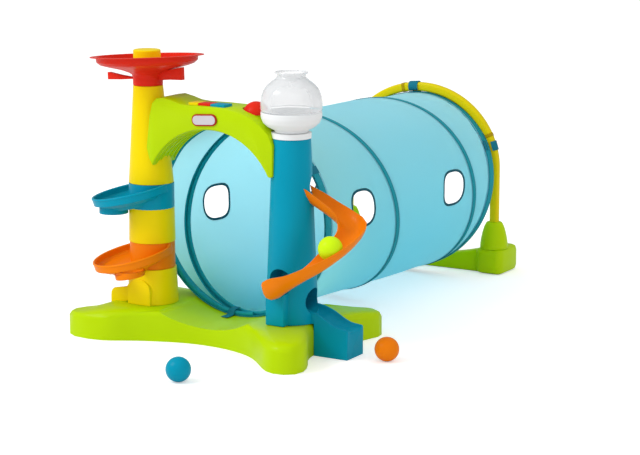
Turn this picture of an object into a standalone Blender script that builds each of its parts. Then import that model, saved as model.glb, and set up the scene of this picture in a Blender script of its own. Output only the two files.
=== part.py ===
# Kids play tunnel: a coil-spring cloth tunnel between a front stand with two ball-run towers and a rear stand.
# X runs along the front arch, Y runs back along the tunnel, Z is up and the floor is Z = 0.
# X = 0 is the tunnel's axis and Y = 0 is the front hoop. All sizes are metres.
import bpy
import bmesh
from math import pi, sin, cos, atan2, sqrt, radians
from mathutils import Vector

for old in list(bpy.data.objects):
    bpy.data.objects.remove(old, do_unlink=True)

# Fits and general detail
GAP = 0.0003            # seated pieces stand this far apart
ROUND_STEPS = 32        # segments round a column
BALL_R = 0.0293
BALL_FIT = 0.0022       # how much wider than a ball its holes are
HOLE_R = BALL_R + BALL_FIT
CUT_OVER = 0.01         # how far a cutter runs past the face it cuts

# Tunnel
HOOP_R = 0.240
WIRE_R = 0.005
TUNNEL_L = 0.905
FRONT_CLEAR = 0.049     # the front hoop's line stands this far off the floor
REAR_CLEAR = 0.0134
FRONT_HOOP_Z = HOOP_R + FRONT_CLEAR
REAR_HOOP_Z = HOOP_R + REAR_CLEAR
REAR_LEAN = 0.20        # radians the rear hoop leans back
LEAN_POWER = 2
COIL_TURNS = 2
COIL_START = -0.152     # radians from the bottom where the coil starts
WIRE_LEAD = 0.011       # how far the end hoops climb in their one turn
TURN_STEPS = 32
CLOTH_T = 0.0012
CLOTH_SAG = 0.0055
CLOTH_ROWS = 4
HEM = 0.005
CLOTH_IN_R = HOOP_R + WIRE_R + GAP
CLOTH_OUT_R = CLOTH_IN_R + CLOTH_T

# Cloth windows: side (+1 right, -1 left), share of the tunnel's length, rise as a share of the hoop's radius
WINDOW_SHARES = ((1, 0.20994, 0.10614), (1, 0.75138, 0.08437), (-1, 0.28398, -0.04538), (-1, 0.79558, 0.0055))
WINDOW_HALF_L = 0.062
WINDOW_HALF_H = 0.044
WINDOW_SQUARE = 4       # power of the rounded square
WINDOW_STEPS = 20
BINDING_W = 0.008
BINDING_T = 0.0012
BINDING_OFF = 0.0008

# Towers
TOWER_X = 0.2025
TOWER_Y = -0.090
SEAT_Z = 0.077
FOOT_R = 0.0635         # both columns at the seat
LOWER_TOP_Z = 0.1650
ORANGE_TOP_Z = 0.2300
MIDDLE_TOP_Z = 0.3160
TEAL_TRAY_TOP_Z = 0.3890
UPPER_TOP_Z = 0.6165
UPPER_TOP_R = 0.0360
TRAY_COLLAR_R = 0.0560
TRAY_R = 0.100
TRAY_WALL = 0.0035
TRAY_DEPTH = 0.026
TRAY_BOWL_R = 0.072
TRAY_BOWL_DEPTH = 0.012
TRAY_TILT = radians(11)
TRAY_BACK_SHARE = 0.5   # how much of the tilt is also toward the front
ORANGE_OFF = (-0.035, -0.035)
TEAL_OFF = (-0.044, -0.022)
ORANGE_RIM_Z = 0.2050
TEAL_RIM_Z = 0.3550
SPOUT_R = 0.036
SPOUT_WALL = 0.0035
TEAL_SPOUT_OFF = (-0.078, -0.052)
TEAL_SPOUT_Z = 0.3000
ORANGE_SPOUT_OFF = (-0.0050, -0.0890)
ORANGE_SPOUT_Z = 0.1560

# Red dish and cap: outer and inner profile as radius and height
DISH_OUT = ((0.1300, 0.6880), (0.1370, 0.6860), (0.1340, 0.6740), (0.1180, 0.6640), (0.0850, 0.6540),
            (0.0370, 0.6380), (0.0360, 0.6168))
DISH_IN = ((0.0330, 0.6420), (0.0850, 0.6580), (0.1140, 0.6680), (0.1290, 0.6780))
DISH_HOLE_OFF = (-0.058, -0.060)
CAP_R = 0.0340
CAP_PROUD = 0.0090      # how far the cap stands above the dish's rim
CAP_TOP_Z = DISH_OUT[0][1] + CAP_PROUD
CAP_ROUND = 0.0040
FIN_W = 0.018
FIN_Z = 0.6300
FIN_ROOT_TOP = 0.6355
LEFT_FIN_REACH = 0.112
LEFT_FIN_TOP = 0.6490
RIGHT_FIN_REACH = 0.096
RIGHT_FIN_TOP = 0.6480

# Yellow outlet
BOSS_W = 0.066
BOSS_FRONT_Y = -0.152
BOSS_TOP_Z = 0.146
OUTLET_REACH = 0.305
OUTLET_HALF_W = 0.037
OUTLET_TOP_Z = 0.113
OUTLET_ROUND = 0.016
OUTLET_AXIS_Z = 0.1180

# Teal tower
TEAL_TOP_Z = 0.5177
TEAL_TOP_R = 0.0460
NOSE_LEFT = -0.027
NOSE_RIGHT = 0.024
NOSE_FRONT_Y = -0.168
NOSE_TOP_Z = 0.1560
UPPER_HOLE_Z = 0.4020
LOWER_HOLE_Z = 0.1800
EXIT_HOLE_Z = 0.1270
EXIT_Y = -0.065
TOP_WELL_FLOOR = 0.3700
LOW_WELL_FLOOR = 0.0950

# White collar, bowl and clear globe
COLLAR_R = 0.0475
COLLAR_TOP_Z = 0.5310
BOWL_OUT = ((0.0705, 0.5800), (0.0730, 0.5780), (0.0720, 0.5660), (0.0640, 0.5500), (0.0480, 0.5400),
            (0.0400, 0.5313))
BOWL_IN = ((0.0320, 0.5313), (0.0340, 0.5430), (0.0540, 0.5520), (0.0670, 0.5680))
GLOBE_OUT = ((0.0385, 0.6750), (0.0385, 0.6720), (0.0345, 0.6690), (0.0340, 0.6600), (0.0440, 0.6520),
             (0.0600, 0.6400), (0.0705, 0.6200), (0.0735, 0.5990), (0.0730, 0.5803))
GLOBE_WALL = 0.0025

# Slide: plan points off the tower's axis, and the two heights between which it falls evenly
SLIDE_PLAN = ((0.036, 0.012), (0.060, 0.021), (0.090, 0.027), (0.122, 0.030), (0.150, 0.022), (0.163, -0.005),
              (0.155, -0.042), (0.137, -0.073), (0.109, -0.097), (0.072, -0.106), (0.034, -0.102),
              (0.002, -0.095))
SLIDE_TOP_Z = 0.4080
SLIDE_END_Z = 0.1850
SLIDE_IN_R = 0.0325
SLIDE_WALL = 0.0030
SLIDE_RIM = radians(80)
SLIDE_ARC_STEPS = 7
SLIDE_STATIONS = 27
SLIDE_END_STEPS = 4

# Chute
CHUTE_END_X = 0.358
CHUTE_BASE_X = 0.2835
CHUTE_ROOT_X = 0.2620
CHUTE_HALF_W = 0.038
CHUTE_TOP = ((0.359, 0.0720), (0.329, 0.0750), (0.307, 0.0870), (0.285, 0.0960), (0.262, 0.1080))
CHUTE_GROOVE = ((0.2550, 0.1290), (0.3600, 0.0710))

# Arch
ARCH_FRONT_Y = -0.140
ARCH_BACK_Y = -0.040
ARCH_HOLLOW_Z = 0.340
ARCH_HOLLOW_R = 0.187
ARCH_UNDER_FROM = radians(-59.5)
ARCH_UNDER_TO = radians(63)
ARCH_UNDER_STEPS = 22
ARCH_TOP = ((0.179, 0.4270), (0.1795, 0.5030), (0.168, 0.5260), (0.146, 0.5470), (0.111, 0.5670),
            (0.080, 0.5765), (0.049, 0.5815), (0.000, 0.5825), (-0.055, 0.5820), (-0.080, 0.5840),
            (-0.105, 0.5910), (-0.130, 0.5960), (-0.150, 0.5930), (-0.163, 0.5800), (-0.171, 0.5500),
            (-0.176, 0.5100), (-0.181, 0.4700), (-0.174, 0.4440), (-0.164, 0.4260))
ARCH_ROUND = 0.006
KEY_EDGES = (-0.063, -0.035, 0.000, 0.040)
KEY_FRONT_Y = -0.130
KEY_BACK_Y = -0.094
KEY_TOP_Z = 0.5880
KEY_BOTTOM_Z = 0.5745
KEY_TRAVEL = 0.003
KEY_ROUND = 0.0015
BUTTON_X = 0.096
BUTTON_Y = -0.077
BUTTON_R = 0.0320
BUTTON_SEAT_WALL = 0.0012
BUTTON_SEAT_Z = 0.5660
BUTTON_SKIRT_Z = 0.5610
BUTTON_TOP_Z = 0.5950
BUTTON_TRAVEL = 0.005
BUTTON_STEPS = 4
PLAQUE_X = -0.0155
PLAQUE_Z = 0.5500
PLAQUE_W = 0.071
PLAQUE_H = 0.029
PLAQUE_T = 0.0030
PLAQUE_MARGIN = 0.0035
PLAQUE_FACE_T = 0.0012
COVER_W = 0.066
COVER_H = 0.026
COVER_T = 0.0022
COVER_Z = 0.5520

# Front base
BASE_MID_Y = -0.066
BASE_HALF_X = 0.340
BASE_HALF_Y = 0.2180
BASE_POWER = 8
BOW_R = 0.310
BOW_DEPTH = 0.087       # from the base's middle to the crown of its front and back bows
NOTCH_R = 0.252
NOTCH_X = 0.278
TIP_Z = 0.0620
SEAT_FLAT = 0.105       # the seat is level this far from a tower's axis
SEAT_FADE = 0.240
BASE_EDGE = 0.0160
BASE_STEPS = 80
BASE_RINGS = (1, 0.985, 0.965, 0.935, 0.89, 0.82, 0.70, 0.40)
BASE_SMOOTH = 9
SADDLE_EASE = 0.022     # how much wider than the hoop the base's saddle is
SADDLE_R = HOOP_R + SADDLE_EASE
SADDLE_STEPS = 64
SOCKET_STEPS = 20
GLOBE_STEPS = 28

# Rear stand
REAR_OFF = 0.041        # the rear arch stands this far behind the tunnel's end
REAR_Y = TUNNEL_L + REAR_OFF
ARCH_INSIDE = 0.005     # how much smaller than the hoop the rear arch is
REAR_ARCH_R = HOOP_R - ARCH_INSIDE
ARCH_ABOVE = 0.0416     # how far the rear arch's centre is above the hoop's
REAR_ARCH_Z = REAR_HOOP_Z + ARCH_ABOVE
REAR_TUBE_R = 0.0100
LEFT_JOINT = radians(-65)
MID_JOINT = radians(-13)
RIGHT_JOINT = radians(65)
ARC_STEP = radians(6.5)
LEG_END_Z = 0.1030
SOCKET_TOP_Z = 0.1440
SOCKET_TOP_R = 0.0190
SOCKET_FOOT_R = 0.0370
FOOT_INWARD = 0.045     # the rear foot's reach to each side of its leg
FOOT_OUTWARD = 0.056
FOOT_FORWARD = 0.041
FOOT_BACKWARD = 0.094
REAR_FOOT_IN_X = REAR_ARCH_R - FOOT_INWARD
REAR_FOOT_OUT_X = REAR_ARCH_R + FOOT_OUTWARD
REAR_FOOT_FRONT_Y = REAR_Y - FOOT_FORWARD
REAR_FOOT_BACK_Y = REAR_Y + FOOT_BACKWARD
REAR_FOOT_Z = 0.0720
REAR_FOOT_ROUND = 0.0140
BAR_FORWARD = 0.021
BAR_BACKWARD = 0.022
BAR_FRONT_Y = REAR_Y - BAR_FORWARD
BAR_BACK_Y = REAR_Y + BAR_BACKWARD
BAR_SIDE_Z = 0.0640
BAR_MID_Z = 0.0380
BAR_ROUND = 0.0060

# Straps
STRAP_W = 0.020
STRAP_T = 0.0014
STRAP_LAP = 0.024
STRAP_LEAD = 0.004
REAR_STRAP_TOP = radians(-5)
REAR_STRAP_SIDE = radians(73)
RIGHT_STRAP_Z = 0.427
LEFT_STRAP_Z = 0.404
BASE_STRAP_X = -0.025


def linear(value):
    # screen colour to linear light
    value = value / 255
    return value / 12.92 if value <= 0.04045 else ((value + 0.055) / 1.055) ** 2.4


def material(name, colour, roughness=0.4, alpha=1.0):
    made = bpy.data.materials.get(name)
    if made:
        return made
    made = bpy.data.materials.new(name)
    made.use_nodes = True
    shader = made.node_tree.nodes["Principled BSDF"]
    rgb = [linear(part) for part in colour]
    shader.inputs["Base Color"].default_value = (*rgb, 1.0)
    shader.inputs["Roughness"].default_value = roughness
    shader.inputs["Alpha"].default_value = alpha
    made.diffuse_color = (*rgb, alpha)
    return made


LIME = ("lime_plastic", (179, 213, 4))
YELLOW = ("yellow_plastic", (238, 212, 3))
TEAL = ("teal_plastic", (4, 143, 175))
ORANGE = ("orange_plastic", (235, 131, 18))
RED = ("red_plastic", (213, 50, 34))
WHITE = ("white_plastic", (225, 227, 230))
CLEAR = ("clear_plastic", (241, 244, 246), 0.1, 0.35)
CLOTH = ("aqua_cloth", (125, 203, 214), 0.9)
PIPING = ("dark_teal_piping", (10, 120, 140), 0.8)
STRAPPING = ("dark_teal_strap", (12, 84, 96), 0.8)
ARCH_YELLOW = ("rear_yellow_plastic", (205, 196, 20))
LIME_BALL = ("lime_ball_plastic", (204, 240, 37))

# Loose balls
FLOOR_BALLS = (("teal_ball", (0.124, -0.457), TEAL), ("orange_ball", (0.444, -0.058), ORANGE))
SLIDE_BALL_STATION = 15

parts = bpy.data.collections.new("kids_play_tunnel")
bpy.context.scene.collection.children.link(parts)
cutters = bpy.data.collections.new("cutters")
bpy.context.scene.collection.children.link(cutters)


def add(name, mesh, look=None, smooth_angle=radians(35)):
    # an object in the part's collection, or in the cutters' when it has no look
    made = bpy.data.objects.new(name, mesh)
    if look:
        mesh.materials.append(material(*look))
        parts.objects.link(made)
    else:
        cutters.objects.link(made)
        made.hide_render = True
        made.display_type = "WIRE"
    mesh.shade_smooth()
    mesh.set_sharp_from_angle(angle=smooth_angle)
    return made


def solid(name, points, faces, look=None, smooth_angle=radians(35), shared=0.0):
    # a closed mesh from points and faces, its normals turned outward
    mesh = bpy.data.meshes.new(name)
    mesh.from_pydata([tuple(point) for point in points], [], faces)
    shape = bmesh.new()
    shape.from_mesh(mesh)
    if shared:
        bmesh.ops.remove_doubles(shape, verts=shape.verts, dist=shared)
        bmesh.ops.dissolve_degenerate(shape, dist=shared, edges=shape.edges)
    bmesh.ops.recalc_face_normals(shape, faces=shape.faces)
    shape.to_mesh(mesh)
    shape.free()
    return add(name, mesh, look, smooth_angle)


def turned(name, profile, x, y, look=None, steps=ROUND_STEPS, closed=False):
    # a profile of radius and height turned about the upright axis at x, y
    mesh = bpy.data.meshes.new(name)
    edges = [(step, step + 1) for step in range(len(profile) - 1)]
    if closed:
        edges.append((len(profile) - 1, 0))
    mesh.from_pydata([(radius, 0, z) for radius, z in profile], edges, [])
    made = add(name, mesh, look)
    made.location = (x, y, 0)
    turn = made.modifiers.new("Turn", "SCREW")
    turn.steps = steps
    turn.render_steps = steps
    turn.use_merge_vertices = True
    turn.merge_threshold = 0.00005
    turn.use_normal_calculate = False
    turn.use_smooth_shade = True
    return made


def prism(name, outline, start, stop, axis, look=None):
    # an outline drawn out along one axis: x outlines are (y, z), y outlines (x, z) and z outlines (x, y)
    def place(point, depth):
        spot = list(point)
        spot.insert("xyz".index(axis), depth)
        return spot
    count = len(outline)
    points = [place(point, start) for point in outline] + [place(point, stop) for point in outline]
    faces = [list(range(count)), list(range(2 * count - 1, count - 1, -1))]
    for step in range(count):
        after = (step + 1) % count
        faces.append([step, after, count + after, count + step])
    return solid(name, points, faces, look)


def rounded(half_w, half_h, radius, steps=5, x=0, z=0):
    # a rounded rectangle as a list of points
    points = []
    for corner, (side, level) in enumerate(((1, 1), (-1, 1), (-1, -1), (1, -1))):
        for step in range(steps + 1):
            angle = (corner + step / steps) * pi / 2
            points.append((x + side * (half_w - radius) + radius * cos(angle),
                           z + level * (half_h - radius) + radius * sin(angle)))
    return points


def box(name, x_from, x_to, y_from, y_to, z_from, z_to, look=None):
    outline = [(x_from, y_from), (x_to, y_from), (x_to, y_to), (x_from, y_to)]
    return prism(name, outline, z_from, z_to, "z", look)


def rod(name, start, stop, radius, steps=28):
    # a round cutter between two points
    along = (Vector(stop) - Vector(start)).normalized()
    aside = along.orthogonal().normalized()
    third = along.cross(aside)
    points = []
    for end in (Vector(start), Vector(stop)):
        for step in range(steps):
            angle = 2 * pi * step / steps
            points.append(end + radius * (cos(angle) * aside + sin(angle) * third))
    faces = [list(range(steps)), list(range(2 * steps - 1, steps - 1, -1))]
    for step in range(steps):
        after = (step + 1) % steps
        faces.append([step, after, steps + after, steps + step])
    return solid(name, points, faces)


def combine(target, other, how):
    change = target.modifiers.new(how.title(), "BOOLEAN")
    change.operation = how
    change.solver = "EXACT"
    change.object = other
    return target


def cut(target, *tools):
    for tool in tools:
        combine(target, tool, "DIFFERENCE")
    return target


def join(target, *tools):
    for tool in tools:
        combine(target, tool, "UNION")
    return target


def soften(target, width, segments=2, angle=radians(40)):
    edge = target.modifiers.new("Bevel", "BEVEL")
    edge.width = width
    edge.segments = segments
    edge.limit_method = "ANGLE"
    edge.angle_limit = angle
    edge.harden_normals = False
    return target


def column_r(z, top_z, top_r):
    # radius at height z of a column that tapers evenly from the seat to its top
    return FOOT_R + (top_r - FOOT_R) * (z - SEAT_Z) / (top_z - SEAT_Z)


def yellow_r(z):
    return column_r(z, UPPER_TOP_Z, UPPER_TOP_R)


def teal_r(z):
    return column_r(z, TEAL_TOP_Z, TEAL_TOP_R)


def column(name, x, from_z, to_z, radius_at, look=None, grow=0):
    profile = [(0, to_z), (radius_at(to_z) + grow, to_z), (radius_at(from_z) + grow, from_z), (0, from_z)]
    return turned(name, profile, x, TOWER_Y, look)


# Front base: a polar grid over the X-shaped plan, with its height from the distance to the edge
def base_reach(angle):
    dx, dy = cos(angle), sin(angle)
    reach = (abs(dx / BASE_HALF_X) ** BASE_POWER + abs(dy / BASE_HALF_Y) ** BASE_POWER) ** (-1 / BASE_POWER)
    bow = BOW_DEPTH + BOW_R
    notch = NOTCH_X + NOTCH_R
    for cx, cy, radius in ((0, bow, BOW_R), (0, -bow, BOW_R), (notch, 0, NOTCH_R), (-notch, 0, NOTCH_R)):
        along = dx * cx + dy * cy
        under = along * along - cx * cx - cy * cy + radius * radius
        if along > 0 and under > 0:
            reach = min(reach, along - sqrt(under))
    return reach


def base_outline():
    dense = 1440
    raw = []
    for step in range(dense):
        angle = 2 * pi * step / dense
        reach = base_reach(angle)
        raw.append(Vector((reach * cos(angle), reach * sin(angle))))
    even = resample(raw, 6 * BASE_STEPS)
    count = len(even)
    soft = []
    for step in range(count):
        total = Vector((0, 0))
        for near in range(-BASE_SMOOTH, BASE_SMOOTH + 1):
            total += even[(step + near) % count]
        soft.append(total / (2 * BASE_SMOOTH + 1))
    return resample(soft, BASE_STEPS)


def resample(points, count):
    # evenly spaced points round a closed line
    lengths = [0]
    for step, point in enumerate(points):
        lengths.append(lengths[-1] + (points[(step + 1) % len(points)] - point).length)
    result = []
    at = 0
    for step in range(count):
        goal = lengths[-1] * step / count
        while lengths[at + 1] < goal:
            at += 1
        share = (goal - lengths[at]) / (lengths[at + 1] - lengths[at])
        result.append(points[at].lerp(points[(at + 1) % len(points)], share))
    return result


def edge_distance(point, outline):
    best = 1.0
    for step, start in enumerate(outline):
        side = outline[(step + 1) % len(outline)] - start
        share = max(0, min(1, (point - start).dot(side) / side.length_squared))
        best = min(best, (point - start - share * side).length)
    return best


def fade(value):
    value = max(0, min(1, value))
    return value * value * (3 - 2 * value)


def base_height(point, inset):
    from_tower = (Vector((abs(point.x) - TOWER_X, point.y + BASE_MID_Y - TOWER_Y))).length
    if abs(point.x) < TOWER_X:
        from_tower = 0
    top = SEAT_Z + (TIP_Z - SEAT_Z) * fade((from_tower - SEAT_FLAT) / (SEAT_FADE - SEAT_FLAT))
    if inset < BASE_EDGE:
        top -= BASE_EDGE - sqrt(BASE_EDGE ** 2 - (BASE_EDGE - inset) ** 2)
    return top


def saddle_z():
    # lowest point of the saddle: just under the cloth where the base ends
    drop = (FRONT_HOOP_Z - REAR_HOOP_Z) * (BASE_MID_Y + BOW_DEPTH) / TUNNEL_L
    return FRONT_HOOP_Z - CLOTH_OUT_R - drop - GAP


def front_base():
    outline = base_outline()
    points = [(point.x, point.y + BASE_MID_Y, 0) for point in outline]
    for share in BASE_RINGS:
        for point in outline:
            here = point * share
            inset = 0 if share == 1 else edge_distance(here, outline)
            points.append((here.x, here.y + BASE_MID_Y, base_height(here, inset)))
    count = len(outline)
    faces = [list(range(count))]
    for ring in range(len(BASE_RINGS)):
        for step in range(count):
            after = (step + 1) % count
            faces.append([ring * count + step, ring * count + after,
                          (ring + 1) * count + after, (ring + 1) * count + step])
    points.append((0, BASE_MID_Y, SEAT_Z))
    last = len(BASE_RINGS) * count
    for step in range(count):
        faces.append([last + step, last + (step + 1) % count, len(points) - 1])
    base = solid("front_base", points, faces, LIME, radians(50))
    saddle_bottom = saddle_z()
    outline = [(SADDLE_R * cos(2 * pi * step / SADDLE_STEPS),
                saddle_bottom + SADDLE_R + SADDLE_R * sin(2 * pi * step / SADDLE_STEPS))
               for step in range(SADDLE_STEPS)]
    cut(base, prism("saddle_cutter", outline, -BASE_HALF_X, BASE_HALF_X, "y"))
    return base


# Yellow tower: three lengths, two trays between them, and the red dish with its cap
def outlet_outline():
    points = [(-TOWER_X, SEAT_Z + GAP), (-OUTLET_REACH, SEAT_Z + GAP)]
    for step in range(5):
        angle = pi - step * pi / 8
        points.append((-OUTLET_REACH + OUTLET_ROUND + OUTLET_ROUND * cos(angle),
                       OUTLET_TOP_Z - OUTLET_ROUND + OUTLET_ROUND * sin(angle)))
    points.append((-TOWER_X, OUTLET_TOP_Z))
    return points


def boss_outline():
    half = BOSS_W / 2
    points = [(-TOWER_X + half, SEAT_Z + GAP)]
    for step in range(9):
        angle = pi * step / 8
        points.append((-TOWER_X + half * cos(angle), BOSS_TOP_Z - half + half * sin(angle)))
    points.append((-TOWER_X - half, SEAT_Z + GAP))
    return points


def yellow_tower():
    lower = column("yellow_lower_column", -TOWER_X, SEAT_Z + GAP, LOWER_TOP_Z, yellow_r, YELLOW)
    join(lower, prism("boss_joiner", boss_outline(), BOSS_FRONT_Y, TOWER_Y, "y"))
    join(lower, prism("outlet_joiner", outlet_outline(), TOWER_Y - OUTLET_HALF_W, TOWER_Y + OUTLET_HALF_W, "y"))
    far = -OUTLET_REACH - CUT_OVER
    cut(lower, rod("outlet_groove", (-TOWER_X, TOWER_Y, OUTLET_AXIS_Z), (far, TOWER_Y, OUTLET_AXIS_Z), HOLE_R))
    past = -TOWER_X - FOOT_R - GAP
    cut(lower, box("outlet_open_top", far, past, TOWER_Y - HOLE_R, TOWER_Y + HOLE_R,
                   OUTLET_AXIS_Z - GAP, BOSS_TOP_Z + CUT_OVER))
    cut(lower, turned("lower_well", [(0, OUTLET_AXIS_Z + CUT_OVER), (HOLE_R, OUTLET_AXIS_Z + CUT_OVER),
                                     (HOLE_R, OUTLET_AXIS_Z - HOLE_R + CUT_OVER),
                                     (0, OUTLET_AXIS_Z - HOLE_R + CUT_OVER)], -TOWER_X, TOWER_Y, steps=28))
    column("yellow_middle_column", -TOWER_X, ORANGE_TOP_Z + GAP, MIDDLE_TOP_Z, yellow_r, YELLOW)
    column("yellow_upper_column", -TOWER_X, TEAL_TRAY_TOP_Z + GAP, UPPER_TOP_Z, yellow_r, YELLOW)


def pan(name, rim_z, off, look=None):
    # a round pan: rim, straight wall and a shallower bowl under it, open at the top
    step_r = TRAY_BOWL_R + (TRAY_R - TRAY_BOWL_R) / 3
    outer = [(TRAY_R, rim_z), (TRAY_R, rim_z - TRAY_DEPTH / 2), (step_r, rim_z - TRAY_DEPTH),
             (TRAY_BOWL_R, rim_z - TRAY_DEPTH), (TRAY_BOWL_R - TRAY_BOWL_DEPTH, rim_z - TRAY_DEPTH - TRAY_BOWL_DEPTH),
             (0, rim_z - TRAY_DEPTH - TRAY_BOWL_DEPTH)]
    floor_z = rim_z - TRAY_DEPTH + TRAY_WALL
    inner = [(0, floor_z - TRAY_WALL / 2), (TRAY_BOWL_R, floor_z), (TRAY_R - 3 * TRAY_WALL, floor_z + TRAY_WALL),
             (TRAY_R - TRAY_WALL, floor_z + 3 * TRAY_WALL), (TRAY_R - TRAY_WALL, rim_z)]
    made = turned(name, [(radius, z - rim_z) for radius, z in inner + outer], 0, 0, look, steps=24)
    made.location = (-TOWER_X + off[0], TOWER_Y + off[1], rim_z)
    made.rotation_euler = (TRAY_TILT * TRAY_BACK_SHARE, -TRAY_TILT, 0)
    return made


def tray(name, from_z, to_z, rim_z, off, spout_off, spout_z, look):
    made = column(name, -TOWER_X, from_z - CUT_OVER / 2, to_z, lambda z: TRAY_COLLAR_R, look)
    join(made, pan(name + "_pan", rim_z, off))
    rise = (spout_off[0] - off[0]) * sin(TRAY_TILT) + (spout_off[1] - off[1]) * sin(TRAY_TILT * TRAY_BACK_SHARE)
    spout_top = rim_z - TRAY_DEPTH + TRAY_WALL / 2 + rise
    spout = [(0, spout_top), (SPOUT_R, spout_top), (SPOUT_R, spout_z), (0, spout_z)]
    spot = (-TOWER_X + spout_off[0], TOWER_Y + spout_off[1])
    join(made, turned(name + "_spout", spout, *spot, steps=24))
    cut(made, turned(name + "_drop", [(0, to_z + CUT_OVER), (HOLE_R, to_z + CUT_OVER),
                                      (HOLE_R, spout_z - CUT_OVER), (0, spout_z - CUT_OVER)], *spot, steps=26))
    return cut(made, column(name + "_clearance", -TOWER_X, SEAT_Z, from_z, yellow_r, grow=GAP))


def red_dish():
    profile = [(0, DISH_IN[0][1]), *DISH_IN, *DISH_OUT, (0, DISH_OUT[-1][1])]
    dish = turned("red_dish", profile, -TOWER_X, TOWER_Y, RED, steps=40)
    spot = (-TOWER_X + DISH_HOLE_OFF[0], TOWER_Y + DISH_HOLE_OFF[1])
    top, bottom = DISH_OUT[0][1] + CUT_OVER, UPPER_TOP_Z
    cut(dish, turned("dish_drop", [(0, top), (HOLE_R, top), (HOLE_R, bottom), (0, bottom)], *spot, steps=28))
    cap_z = DISH_IN[0][1] + (CAP_R - DISH_IN[0][0]) * (DISH_IN[1][1] - DISH_IN[0][1]) / (DISH_IN[1][0] - DISH_IN[0][0])
    turned("yellow_cap", [(0, CAP_TOP_Z), (CAP_R - CAP_ROUND, CAP_TOP_Z), (CAP_R, CAP_TOP_Z - CAP_ROUND),
                          (CAP_R, cap_z + GAP), (0, cap_z + GAP)], -TOWER_X, TOWER_Y, YELLOW)
    neck = DISH_OUT[-2][0] + GAP
    half = FIN_W / 2
    for name, side, reach, tip_top in (("dish_fin_left", -1, LEFT_FIN_REACH, LEFT_FIN_TOP),
                                       ("dish_fin_right", 1, RIGHT_FIN_REACH, RIGHT_FIN_TOP)):
        outline = [(-TOWER_X + side * neck, FIN_Z), (-TOWER_X + side * reach, FIN_Z),
                   (-TOWER_X + side * reach, tip_top), (-TOWER_X + side * neck, FIN_ROOT_TOP)]
        prism(name, outline, TOWER_Y - half, TOWER_Y + half, "y", RED)


# Teal tower with its ball holes, and the collar, bowl and globe on it
def nose(name, grow=0, look=None):
    return box(name, TOWER_X + NOSE_LEFT - grow, TOWER_X + NOSE_RIGHT + grow, NOSE_FRONT_Y - grow, TOWER_Y,
               SEAT_Z + GAP - grow, NOSE_TOP_Z + grow, look)


def well(name, floor_z, top_z):
    return turned(name, [(0, top_z), (HOLE_R, top_z), (HOLE_R, floor_z), (0, floor_z)], TOWER_X, TOWER_Y, steps=28)


def teal_tower():
    tower = column("teal_tower", TOWER_X, SEAT_Z + GAP, TEAL_TOP_Z, teal_r, TEAL)
    join(tower, nose("nose_joiner"))
    out = FOOT_R + CUT_OVER
    cut(tower, well("top_well", TOP_WELL_FLOOR, TEAL_TOP_Z + CUT_OVER))
    cut(tower, rod("upper_hole", (TOWER_X, TOWER_Y, UPPER_HOLE_Z), (TOWER_X + out, TOWER_Y, UPPER_HOLE_Z), HOLE_R))
    cut(tower, well("low_well", LOW_WELL_FLOOR, LOWER_HOLE_Z))
    cut(tower, rod("lower_hole", (TOWER_X, TOWER_Y, LOWER_HOLE_Z),
                   (TOWER_X, NOSE_FRONT_Y - CUT_OVER, LOWER_HOLE_Z), HOLE_R))
    cut(tower, rod("exit_hole", (TOWER_X, EXIT_Y, EXIT_HOLE_Z), (TOWER_X + out, EXIT_Y, EXIT_HOLE_Z), HOLE_R))
    seat = TEAL_TOP_Z + GAP
    turned("white_collar", [(COLLAR_R, COLLAR_TOP_Z), (COLLAR_R, seat), (HOLE_R, seat), (HOLE_R, COLLAR_TOP_Z)],
           TOWER_X, TOWER_Y, WHITE, closed=True)
    turned("white_bowl", list(BOWL_OUT) + list(BOWL_IN), TOWER_X, TOWER_Y, WHITE, steps=GLOBE_STEPS, closed=True)
    inner = [(radius - GLOBE_WALL, z) for radius, z in reversed(GLOBE_OUT)]
    turned("clear_globe", list(GLOBE_OUT) + inner, TOWER_X, TOWER_Y, CLEAR, steps=GLOBE_STEPS, closed=True)


# Slide: a trough swept along its plan points, round-ended, cut back to clear the tower
def smooth_line(points, count):
    # a smooth line through the points, evenly spaced
    dense = []
    for step in range(len(points) - 1):
        before = points[max(0, step - 1)]
        start, stop = points[step], points[step + 1]
        after = points[min(len(points) - 1, step + 2)]
        for part in range(12):
            share = part / 12
            dense.append(0.5 * (2 * start + (stop - before) * share
                                + (2 * before - 5 * start + 4 * stop - after) * share ** 2
                                + (3 * start - before - 3 * stop + after) * share ** 3))
    dense.append(points[-1])
    lengths = [0]
    for step in range(len(dense) - 1):
        lengths.append(lengths[-1] + (dense[step + 1] - dense[step]).length)
    result = []
    at = 0
    for step in range(count):
        goal = lengths[-1] * step / (count - 1)
        while at < len(dense) - 2 and lengths[at + 1] < goal:
            at += 1
        share = (goal - lengths[at]) / (lengths[at + 1] - lengths[at])
        result.append(dense[at].lerp(dense[at + 1], min(1, share)))
    return result


def slide_line():
    plan = smooth_line([Vector((x, y)) for x, y in SLIDE_PLAN], SLIDE_STATIONS)
    drop = SLIDE_END_Z - SLIDE_TOP_Z
    return [Vector((TOWER_X + spot.x, TOWER_Y + spot.y, SLIDE_TOP_Z + drop * step / (SLIDE_STATIONS - 1)))
            for step, spot in enumerate(plan)]


def line_frame(line, step):
    along = (line[min(step + 1, len(line) - 1)] - line[max(step - 1, 0)]).normalized()
    aside = along.cross(Vector((0, 0, 1))).normalized()
    return along, aside, aside.cross(along)


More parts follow.
